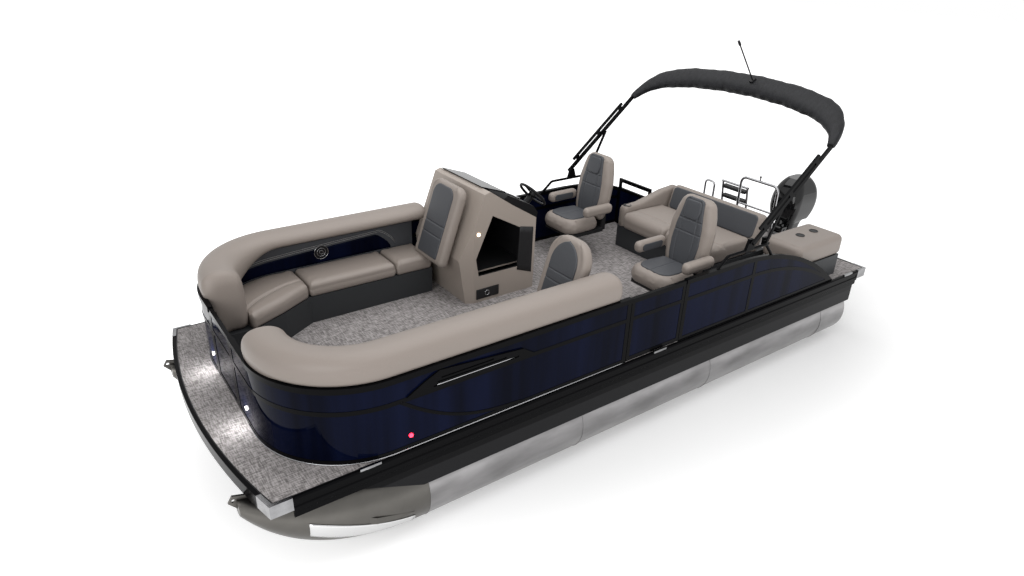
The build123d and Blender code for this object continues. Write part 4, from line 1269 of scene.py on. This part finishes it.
    def back(self, chaise: Chaise) -> None:
        """A chaise back: a broad pad with side rolls and a charcoal centre.

        Args:
            chaise: Where it stands.
        """
        run, out = lean(chaise.head - chaise.foot, chaise.top - self.chaise_low)
        rear = 0.105 * out
        foot = np.array([chaise.foot, 0.0, self.chaise_low]) - rear
        head = np.array([chaise.head, 0.0, chaise.top]) - rear
        edges = [line(foot + y * PORT, head + y * PORT) for y in (chaise.first, chaise.last)]
        pad = Pad(
            chaise.name, *edges, thick=0.100, radius=0.045, crown=0.004, end=0.045, normal=out,
            along=(0.13, 0.87), plan=(0.03, chaise.turn)
        )
        place_pad(pad, Body.BOAT, "lounge_backrests")
        skin = 0.088 * out
        low, high = foot + skin + run * 0.05, head + skin - run * 0.035
        margin = 0.17 * (chaise.last - chaise.first)
        sides = (chaise.first + margin, chaise.last - margin)
        edges = [line(low + y * PORT, high + y * PORT) for y in sides]
        centre = Pad(
            chaise.name + "_centre", *edges, thick=0.026, radius=0.011, crown=0.006, end=0.013, normal=out,
            cross=(0.30, 0.46), groove=0.006, plan=(0.02, chaise.turn), finish=CHARCOAL
        )
        place_pad(centre, Body.BOAT)


@dataclass
class Chair:
    """A swivel chair's pads about its pedestal.

    Attributes:
        name: Name of the chair.
        body: The body that carries it.
        x: Place of its pedestal, from the stern edge.
        y: Place of its pedestal to port.
        seat: Distance forward and half width of the seat, row by row.
        seat_centre: The same for the seat's charcoal centre.
        back: Distance up the back and half width of the backrest, row by row.
        back_centre: The same for the back's charcoal centre.
        head: The same for the head pad.
        back_thick: Thickness of the backrest.
    """

    name: str
    body: Body
    x: float
    y: float
    seat: tuple = ((-0.160, 0.235), (0.0, 0.255), (0.18, 0.255), (0.290, 0.240))
    seat_centre: tuple = ((-0.135, 0.165), (0.05, 0.190), (0.225, 0.175))
    back: tuple = ((0.0, 0.205), (0.10, 0.235), (0.26, 0.252), (0.42, 0.250), (0.56, 0.220), (0.70, 0.172))
    back_centre: tuple = (
        (0.03, 0.130), (0.12, 0.150), (0.26, 0.162), (0.42, 0.150), (0.56, 0.124), (0.692, 0.104)
    )
    head: tuple = ((0.490, 0.076), (0.575, 0.096), (0.668, 0.088))
    back_thick: float = 0.104

    def points(self, *rows: Sequence[float]) -> Array:
        """Gives points measured from the pedestal as rows in the row frame."""
        return line(*[(self.x + x, self.y + y, z) for x, y, z in rows])

    def edges(self, start: Array, run: Array, rows: Sequence[tuple[float, float]]) -> list[Array]:
        """Gives two edge lines about a middle line.

        Args:
            start: Where the middle line's distances begin.
            run: Its direction.
            rows: Distance along it and half width, row by row.

        Returns:
            The port line and the starboard line.
        """
        return [self.points(*[start + run * s + sign * w * PORT for s, w in rows]) for sign in (1, -1)]

    def build(self) -> None:
        """Puts on the seat, the back, their charcoal centres, the head pad and the armrests."""
        n = self.name
        seat = Pad(
            f"{n}_seat", *self.edges(1.144 * UP, FORE, self.seat), thick=0.150, radius=0.062, crown=0.006,
            end=0.060, plan=(0.05, 0.13), puffed=True
        )
        place_pad(seat, self.body, f"{n}_chair_pads")
        centre = Pad(
            f"{n}_seat_centre", *self.edges(1.285 * UP, FORE, self.seat_centre), thick=0.029, radius=0.012,
            crown=0.004, end=0.013, along=(0.5,), groove=0.005, plan=(0.03, 0.09), finish=CHARCOAL
        )
        place_pad(centre, self.body, f"{n}_chair_inserts")
        self.backrest()
        for side, word in SIDES:
            self.arm(word, side)

    def backrest(self) -> None:
        """The leaning backrest with its charcoal centre and head pad."""
        n, thick = self.name, self.back_thick
        run, out = lean(-0.12, 0.70)
        foot = np.array([-0.165, 0.0, 1.235]) - thick * out
        back = Pad(
            f"{n}_back", *self.edges(foot, run, self.back), thick=thick, radius=0.048, crown=0.004,
            end=0.045, normal=out, plan=(0.04, 0.07), puffed=True
        )
        place_pad(back, self.body)
        skin = foot + (thick - 0.006) * out
        centre = Pad(
            f"{n}_back_centre", *self.edges(skin, run, self.back_centre), thick=0.026, radius=0.011,
            crown=0.004, end=0.012, normal=out, cross=(0.50, 0.68), along=(0.2, 0.8), groove=0.006,
            plan=(0.02, 0.045), finish=CHARCOAL
        )
        place_pad(centre, self.body)
        head = Pad(
            f"{n}_head", *self.edges(skin + 0.016 * out, run, self.head), thick=0.022, radius=0.010,
            crown=0.004, end=0.010, normal=out, plan=(0.03, 0.03), finish=CHARCOAL
        )
        place_pad(head, self.body)

    def arm(self, word: str, side: int) -> None:
        """An armrest with its charcoal inner side.

        Args:
            word: Name of the side.
            side: 1 for port, -1 for starboard.
        """
        low = 1.350
        edges = [self.points((-0.255, side * y, low), (0.130, side * y, low)) for y in (0.252, 0.345)]
        arm = Pad(f"{self.name}_{word}_arm", *edges, thick=0.108, radius=0.040, crown=0.002, end=0.044)
        place_pad(arm, self.body)
        off = side * 0.2505
        edges = [self.points((-0.175, off, z), (0.085, off, z)) for z in (1.372, 1.440)]
        inner = Pad(
            f"{self.name}_{word}_arm_side", *edges, thick=0.008, radius=0.003, crown=0.001, end=0.004,
            normal=-side * PORT, plan=(0.025, 0.03), finish=CHARCOAL
        )
        place_pad(inner, self.body)


@dataclass
class SternLounge:
    """Seat, backrest, arm and the port module with its cup holders."""

    first: float = -0.556
    last: float = 0.70
    cushions: tuple = ((-0.556, 0.066), (0.072, 0.70))
    seat_run: tuple[float, float] = (1.335, 1.985)
    low: float = 1.100
    module_run: tuple[float, float] = (0.40, 1.20)
    module_sides: tuple[float, float] = (0.742, 1.196)
    module_low: float = 1.081
    cups: tuple[Triple, ...] = ((0.62, 0.95, 1.3015), (0.86, 0.95, 1.3015), (1.86, -0.62, 1.336))
    arm_run: tuple[float, float] = (1.072, 1.940)
    arm_top: tuple = ((1.06, 1.33, 1.50, 1.70, 1.945), (1.462, 1.436, 1.392, 1.345, 1.335))
    arm_low: float = 1.102
    arm_off: float = -0.620

    def build(self) -> None:
        """Puts the cushions and cup holders in."""
        for i, (a, b) in enumerate(self.cushions):
            edges = [line((x, a, self.low), (x, b, self.low)) for x in self.seat_run]
            pad = Pad(
                f"stern_seat_{i}", *edges, thick=0.188, radius=0.060, crown=0.008, end=0.040, along=(0.72,),
                puffed=True
            )
            place_pad(pad, Body.BOAT, "stern_seat")
        self.backrest()
        self.arm()
        aft, fore = self.module_run
        edges = [line((aft, y, self.module_low), (fore, y, self.module_low)) for y in self.module_sides]
        pad = Pad(
            "stern_module_pad", *edges, thick=0.216, radius=0.055, crown=0.004, end=0.06, plan=(0.08, 0.06)
        )
        place_pad(pad, Body.BOAT, "stern_module")
        # Each cup holder is drawn flat: a black disc under a black ring, whose darkness stands for the
        # black holder and also paints the shade inside its hollow.
        for i, (x, y, z) in enumerate(self.cups):
            spot = at(x, y, z - 0.004)
            dress(disc(f"stern_cup_{i}", spot, UP, 0.042, 0.006), SATIN, Body.BOAT)
            dress(hoop(f"stern_cup_ring_{i}", spot + 0.006 * UP, UP, 0.043, 0.004), PLASTIC, Body.BOAT)

    def backrest(self) -> None:
        """The leaning backrest with its charcoal centre."""
        thick = 0.16
        run, out = lean(-0.115, 0.400)
        foot = np.array([1.325, 0.0, 1.102]) - thick * out
        edges = [abeam(foot + run * s, self.first, self.last) for s in (0.0, 0.425)]
        back = Pad("stern_back", *edges, thick=thick, radius=0.062, crown=0.004, end=0.06, normal=out)
        place_pad(back, Body.BOAT, "stern_backrest")
        skin = foot + 0.148 * out
        edges = [abeam(skin + run * s, self.first + 0.05, self.last - 0.04) for s in (0.150, 0.402)]
        centre = Pad(
            "stern_back_centre", *edges, thick=0.024, radius=0.011, crown=0.003, end=0.012, normal=out,
            plan=(0.05, 0.05), finish=CHARCOAL
        )
        place_pad(centre, Body.BOAT)

    def arm(self) -> None:
        """The starboard arm: one pad whose top line falls from the backrest to the front.

        The section is a rounded box 114 mm wide whose height follows the arm's side outline.
        """
        aft, fore = self.arm_run
        x = np.linspace(aft, fore, 60)
        tip = drawn(np.minimum(x - aft, fore - x), 0.05)
        top = np.interp(x, *self.arm_top) - tip
        turn = circle(40)
        half = 0.057 - 0.6 * tip
        y = self.arm_off + half[:, None] * squared(np.cos(turn), 0.45)[None, :]
        up = squared(np.sin(turn), 0.35)[None, :]
        z = 0.5 * (top + self.arm_low)[:, None] + 0.5 * (top - self.arm_low)[:, None] * up
        rows = np.stack([np.repeat((x + STERN)[:, None], len(turn), axis=1), y, z], axis=-1)
        obj = dress(closed_rows("stern_arm", rows), TAUPE, Body.BOAT)


@dataclass
class Boot:
    """The furled top in its cloth cover, an arch in the plane of the bimini's legs.

    Reach is measured up that plane from the pivots. The section is an oval between the inner and
    the outer edge line, thinner towards the ends, with folds drawn as sums of slanted sines.

    Attributes:
        pivot: Place of the pivots, from the stern edge, and their height.
        lean: Angle of the plane above the deck, in degrees.
        outer: Half of the outer edge line, as distance from the middle line and reach.
        inner: Half of the inner edge line.
        depth: Depth of the folds as a share of the section.
    """

    pivot: tuple[float, float] = (2.178, 1.623)
    lean: float = 40.0
    outer: tuple = (
        (1.322, 1.150), (1.312, 1.300), (1.240, 1.500), (1.090, 1.645), (0.790, 1.735), (0.420, 1.778),
        (0.0, 1.794)
    )
    inner: tuple = (
        (1.258, 1.140), (1.225, 1.260), (1.120, 1.355), (0.960, 1.430), (0.720, 1.490), (0.380, 1.535),
        (0.0, 1.552)
    )
    depth: float = 0.024

    def edge(self, half: Sequence[tuple[float, float]], share: Array) -> Array:
        """Mirrors half an edge line and smooths it by a running mean.

        Args:
            half: Distance from the middle line and reach, from the leg to the middle.
            share: Shares of the whole line's length.

        Returns:
            Points of the line in the plane of the legs.
        """
        whole = [(-y, r, 0.0) for y, r in half] + [(y, r, 0.0) for y, r in half[-2::-1]]
        points = resample(np.array(whole), share)
        near = 9
        wide = 2 * near + 1
        padded = np.pad(points, ((near, near), (0, 0)), mode="edge")
        return np.stack([np.convolve(padded[:, i], np.ones(wide) / wide, "valid") for i in range(3)], -1)

    def build(self) -> None:
        """Skins the boot and lets it ride on the bimini."""
        share = np.linspace(0.0, 1.0, 220)
        outer, inner = self.edge(self.outer, share), self.edge(self.inner, share)
        middle, half = 0.5 * (outer + inner), 0.5 * (outer - inner)
        turn = circle(56)
        c, s = np.cos(turn)[None, :], np.sin(turn)[None, :]
        along = share[:, None]
        fold = np.sin(46.0 * along + 2.0 * c) + 0.7 * np.sin(97.0 * along - 3.0 * s + 1.3)
        fold = fold + 0.5 * np.sin(170.0 * along + 5.0 * c)
        fold = 1.0 + self.depth * fold * (0.4 + 0.6 * np.abs(c))
        fat = 0.026 + 0.048 * np.clip(np.sin(np.pi * along), 0.0, 1.0) ** 0.6
        reach = middle[:, None, :] + half[:, None, :] * (squared(c, 0.8) * fold)[..., None]
        off = fat * squared(s, 0.8) * fold
        tilt = np.radians(self.lean)
        ahead = np.array([-np.cos(tilt), np.sin(tilt)])
        x = self.pivot[0] + STERN + reach[..., 1] * ahead[0] + off * ahead[1]
        z = self.pivot[1] + reach[..., 1] * ahead[1] - off * ahead[0]
        obj = closed_rows("bimini_boot_cloth", np.stack([x, reach[..., 0], z], axis=-1))
        dress(obj, BOOT, Body.BIMINI, "bimini_boot")


@dataclass
class Helm:
    """Small fittings of console and dash."""

    gauges: tuple = ((-1.02, 0.10), (-0.62, 0.10), (-0.62, 0.22))
    cover_fore: tuple[Triple, Triple] = ((3.612, -0.298, 1.535), (3.632, -0.298, 1.085))
    cover_aft: tuple[Triple, Triple] = ((3.452, -0.298, 1.500), (3.458, -0.298, 1.020))

    def build(self) -> None:
        """Puts on the gauges, the courtesy lamp, the outlet plate and the cover plate."""
        slope, out = lean(-0.310, -0.160)
        for i, (y, down) in enumerate(self.gauges):
            spot = at(3.640, y, 1.800) + slope * down + out * 0.001
            dress(disc(f"gauge_{i}", spot, out, 0.045, 0.010), SATIN, Body.BOAT)
            dress(hoop(f"gauge_ring_{i}", spot + out * 0.010, out, 0.046, 0.005), CHROME, Body.BOAT)
        lamp = disc("courtesy_lamp", at(4.085, -0.299, 1.545), PORT, 0.016, 0.006, 0.003)
        dress(lamp, WARM, Body.BOAT)
        path = line((3.850, -0.296, 0.930), (4.105, -0.296, 0.930))
        dress(strip("outlet_plate", path, 0.105, PORT, 0.010), PLASTIC, Body.BOAT)
        dress(hoop("outlet_ring", at(3.985, -0.290, 0.930), PORT, 0.024, 0.004), CHROME, Body.BOAT)
        self.cover()

    def cover(self) -> None:
        """The black cover plate behind the console's opening, flat between its two side lines."""
        v = np.linspace(0.0, 1.0, 8)
        fore, aft = resample(line(*self.cover_fore), v), resample(line(*self.cover_aft), v)
        share = np.linspace(0.0, 1.0, 6)[:, None, None]
        dress(plate("console_cover", fore[None] + share * (aft - fore)[None], 0.004), PLASTIC, Body.BOAT)


@dataclass(frozen=True)
class SoftLamp:
    """A rectangular studio lamp aimed at the boat."""

    name: str
    place: Triple
    size: tuple[float, float]
    power: float
    mirrored: bool = True


@dataclass
class Studio:
    """Camera, floor, lamps and world."""

    place: Triple = (7.319, 4.651, 3.920)
    forward: Triple = (-0.53102, -0.72301, -0.44190)
    right: Triple = (-0.81442, 0.57947, 0.03056)
    focal: float = 689.487
    width: float = 1024.0
    # The next four values paint the floor's shadow: the glow for camera, gloss and glass rays falls to this
    # level in an oval about the boat, off centre to aft and to port.
    glow: float = 0.20
    painted_shadow_fade: tuple[float, float] = (1.5, 4.3)
    stretch: Triple = (0.62, 1.0, 1.0)
    painted_shadow_shift: Triple = (0.55, -0.25, 0.0)
    soft: tuple[SoftLamp, ...] = (
        SoftLamp("overhead", (3.2, 0.0, 7.0), (9.0, 6.0), 345.0),
        SoftLamp("front", (11.5, 5.5, 4.5), (6.0, 5.0), 330.0),
        SoftLamp("side", (2.5, 9.5, 3.2), (7.0, 2.2), 200.0, mirrored=False)
    )
    target: Triple = (3.2, 0.0, 0.8)
    bow_power: float = 2.5
    haze: float = 0.50

    def aim(self, obj: Piece, here: Array, ahead: Array, side: Array) -> None:
        """Places an object that looks along its own -Z.

        Args:
            obj: The object.
            here: Its place.
            ahead: Where it looks.
            side: Its right-hand direction.
        """
        basis = np.eye(4)
        basis[:3] = np.stack([side, np.cross(side, ahead), -ahead, here], axis=-1)
        obj.matrix_world = Matrix(basis.tolist())

    def hang(self, name: str, data: bpy.types.ID) -> Piece:
        """Links a lamp or camera to the scene and gives its object."""
        obj = bpy.data.objects.new(name, data)
        bpy.context.scene.collection.objects.link(obj)
        return obj

    def camera(self) -> None:
        """Sets the camera fitted to the photograph's lines."""
        data = bpy.data.cameras.new("camera")
        data.sensor_width = 36.0
        data.lens = data.sensor_width * self.focal / self.width
        data.clip_end = 200.0
        obj = self.hang("camera", data)
        self.aim(obj, at(*self.place), unit(np.array(self.forward)), unit(np.array(self.right)))
        bpy.context.scene.camera = obj

    def floor(self) -> None:
        """A broad pale floor with a painted shadow: its glow falls to a low level in an oval about the
        boat, off centre to aft and to port, so that the boat's shadow shows there, and is white away from
        it.
        """
        span = np.array([-60.0, 60.0])
        u, v = np.meshgrid(span, span, indexing="ij")
        points = np.stack([u.ravel(), v.ravel(), np.full(u.size, -0.002)], axis=-1)
        obj = put_mesh("studio_floor", points, grid_faces(2, 2, False))
        mat = bpy.data.materials.new("studio_floor")
        mat.use_nodes = True
        tree = mat.node_tree
        shader = tree.nodes["Principled BSDF"]
        values = {"Roughness": 0.9, "Specular IOR Level": 0.0, "Emission Color": (1.0, 1.0, 1.0, 1.0)}
        set_inputs(shader, {"Base Color": (0.80, 0.80, 0.80, 1.0), **values})
        coords = tree.nodes.new("ShaderNodeTexCoord")
        mapping = tree.nodes.new("ShaderNodeMapping")
        set_inputs(mapping, {"Scale": self.stretch, "Location": self.painted_shadow_shift})
        length = tree.nodes.new("ShaderNodeVectorMath")
        length.operation = "LENGTH"
        # Painted shadow: the glow fades from 1 far away to the low level near the boat.
        painted_shadow_fade = tree.nodes.new("ShaderNodeMapRange")
        painted_shadow_fade.interpolation_type = "SMOOTHSTEP"
        near, far = self.painted_shadow_fade
        set_inputs(painted_shadow_fade, {"From Min": near, "From Max": far, "To Min": self.glow, "To Max": 1.0})
        tree.links.new(coords.outputs["Object"], mapping.inputs["Vector"])
        tree.links.new(mapping.outputs["Vector"], length.inputs[0])
        tree.links.new(length.outputs["Value"], painted_shadow_fade.inputs["Value"])
        bright = reckon(tree, "MULTIPLY", painted_shadow_fade.outputs["Result"], self.seen(tree))
        tree.links.new(bright, shader.inputs["Emission Strength"])
        obj.data.materials.append(mat)

    def seen(self, tree: Tree) -> Socket:
        """Gives 1 for rays from the camera, from a gloss or through glass, else 0.

        Args:
            tree: The nodes it is added to.

        Returns:
            The socket with that value.
        """
        path = tree.nodes.new("ShaderNodeLightPath")
        seen = path.outputs["Is Camera Ray"]
        for name in ("Is Glossy Ray", "Is Transmission Ray"):
            seen = reckon(tree, "MAXIMUM", seen, path.outputs[name])
        return seen

    def lamps(self) -> None:
        """Soft overhead light, a broad front light and a side strip hidden from reflections."""
        for lamp in self.soft:
            data = bpy.data.lights.new(lamp.name, "AREA")
            data.shape = "RECTANGLE"
            data.size, data.size_y = lamp.size
            data.energy = lamp.power
            obj = self.hang(lamp.name, data)
            obj.visible_glossy = lamp.mirrored
            here = at(*lamp.place)
            ahead = unit(at(*self.target) - here)
            lead = FORE if abs(ahead[2]) > 0.95 else UP
            self.aim(obj, here, ahead, unit(np.cross(ahead, lead)))

    def bow_lamps(self) -> None:
        """The light that the two white bow lamps throw on the deck ahead of them."""
        corners = np.array([v.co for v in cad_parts["lamps"].data.vertices])
        white = corners[np.abs(corners[:, 1]) < LAMP_SIDE]
        for side, word in SIDES:
            middle = white[side * (white[:, 1] - white[:, 1].mean()) > 0.0].mean(0)
            data = bpy.data.lights.new(f"bow_lamp_{word}", "POINT")
            data.energy = self.bow_power
            data.shadow_soft_size = 0.03
            obj = self.hang(f"bow_lamp_{word}", data)
            obj.location = middle + 0.07 * FORE
            obj.visible_camera = False
            obj.visible_glossy = False

    def world(self) -> None:
        """White to the camera and in reflections, soft grey-white as light."""
        world = bpy.data.worlds.new("studio")
        bpy.context.scene.world = world
        world.use_nodes = True
        tree = world.node_tree
        back = tree.nodes["Background"]
        back.inputs["Color"].default_value = (1.0, 1.0, 1.0, 1.0)
        bright = reckon(tree, "MULTIPLY_ADD", self.seen(tree), 1.0 - self.haze, self.haze)
        tree.links.new(bright, back.inputs["Strength"])

    def build(self) -> None:
        """Sets the whole studio."""
        self.camera()
        self.floor()
        self.lamps()
        self.bow_lamps()
        self.world()
        bpy.context.scene.view_settings.view_transform = "Standard"


def main() -> None:
    """Builds and dresses the boat in order."""
    logging.basicConfig(level=logging.INFO, format="%(message)s")
    Hull().dress()
    Trim().build()
    BowLounges().build()
    Chair("helm", Body.HELM, 2.470, -0.820).build()
    Chair("companion", Body.COMPANION, 2.660, 0.750).build()
    SternLounge().build()
    Boot().build()
    Helm().build()
    STUFFING.run()
    Studio().build()


if __name__ == "__main__":
    main()
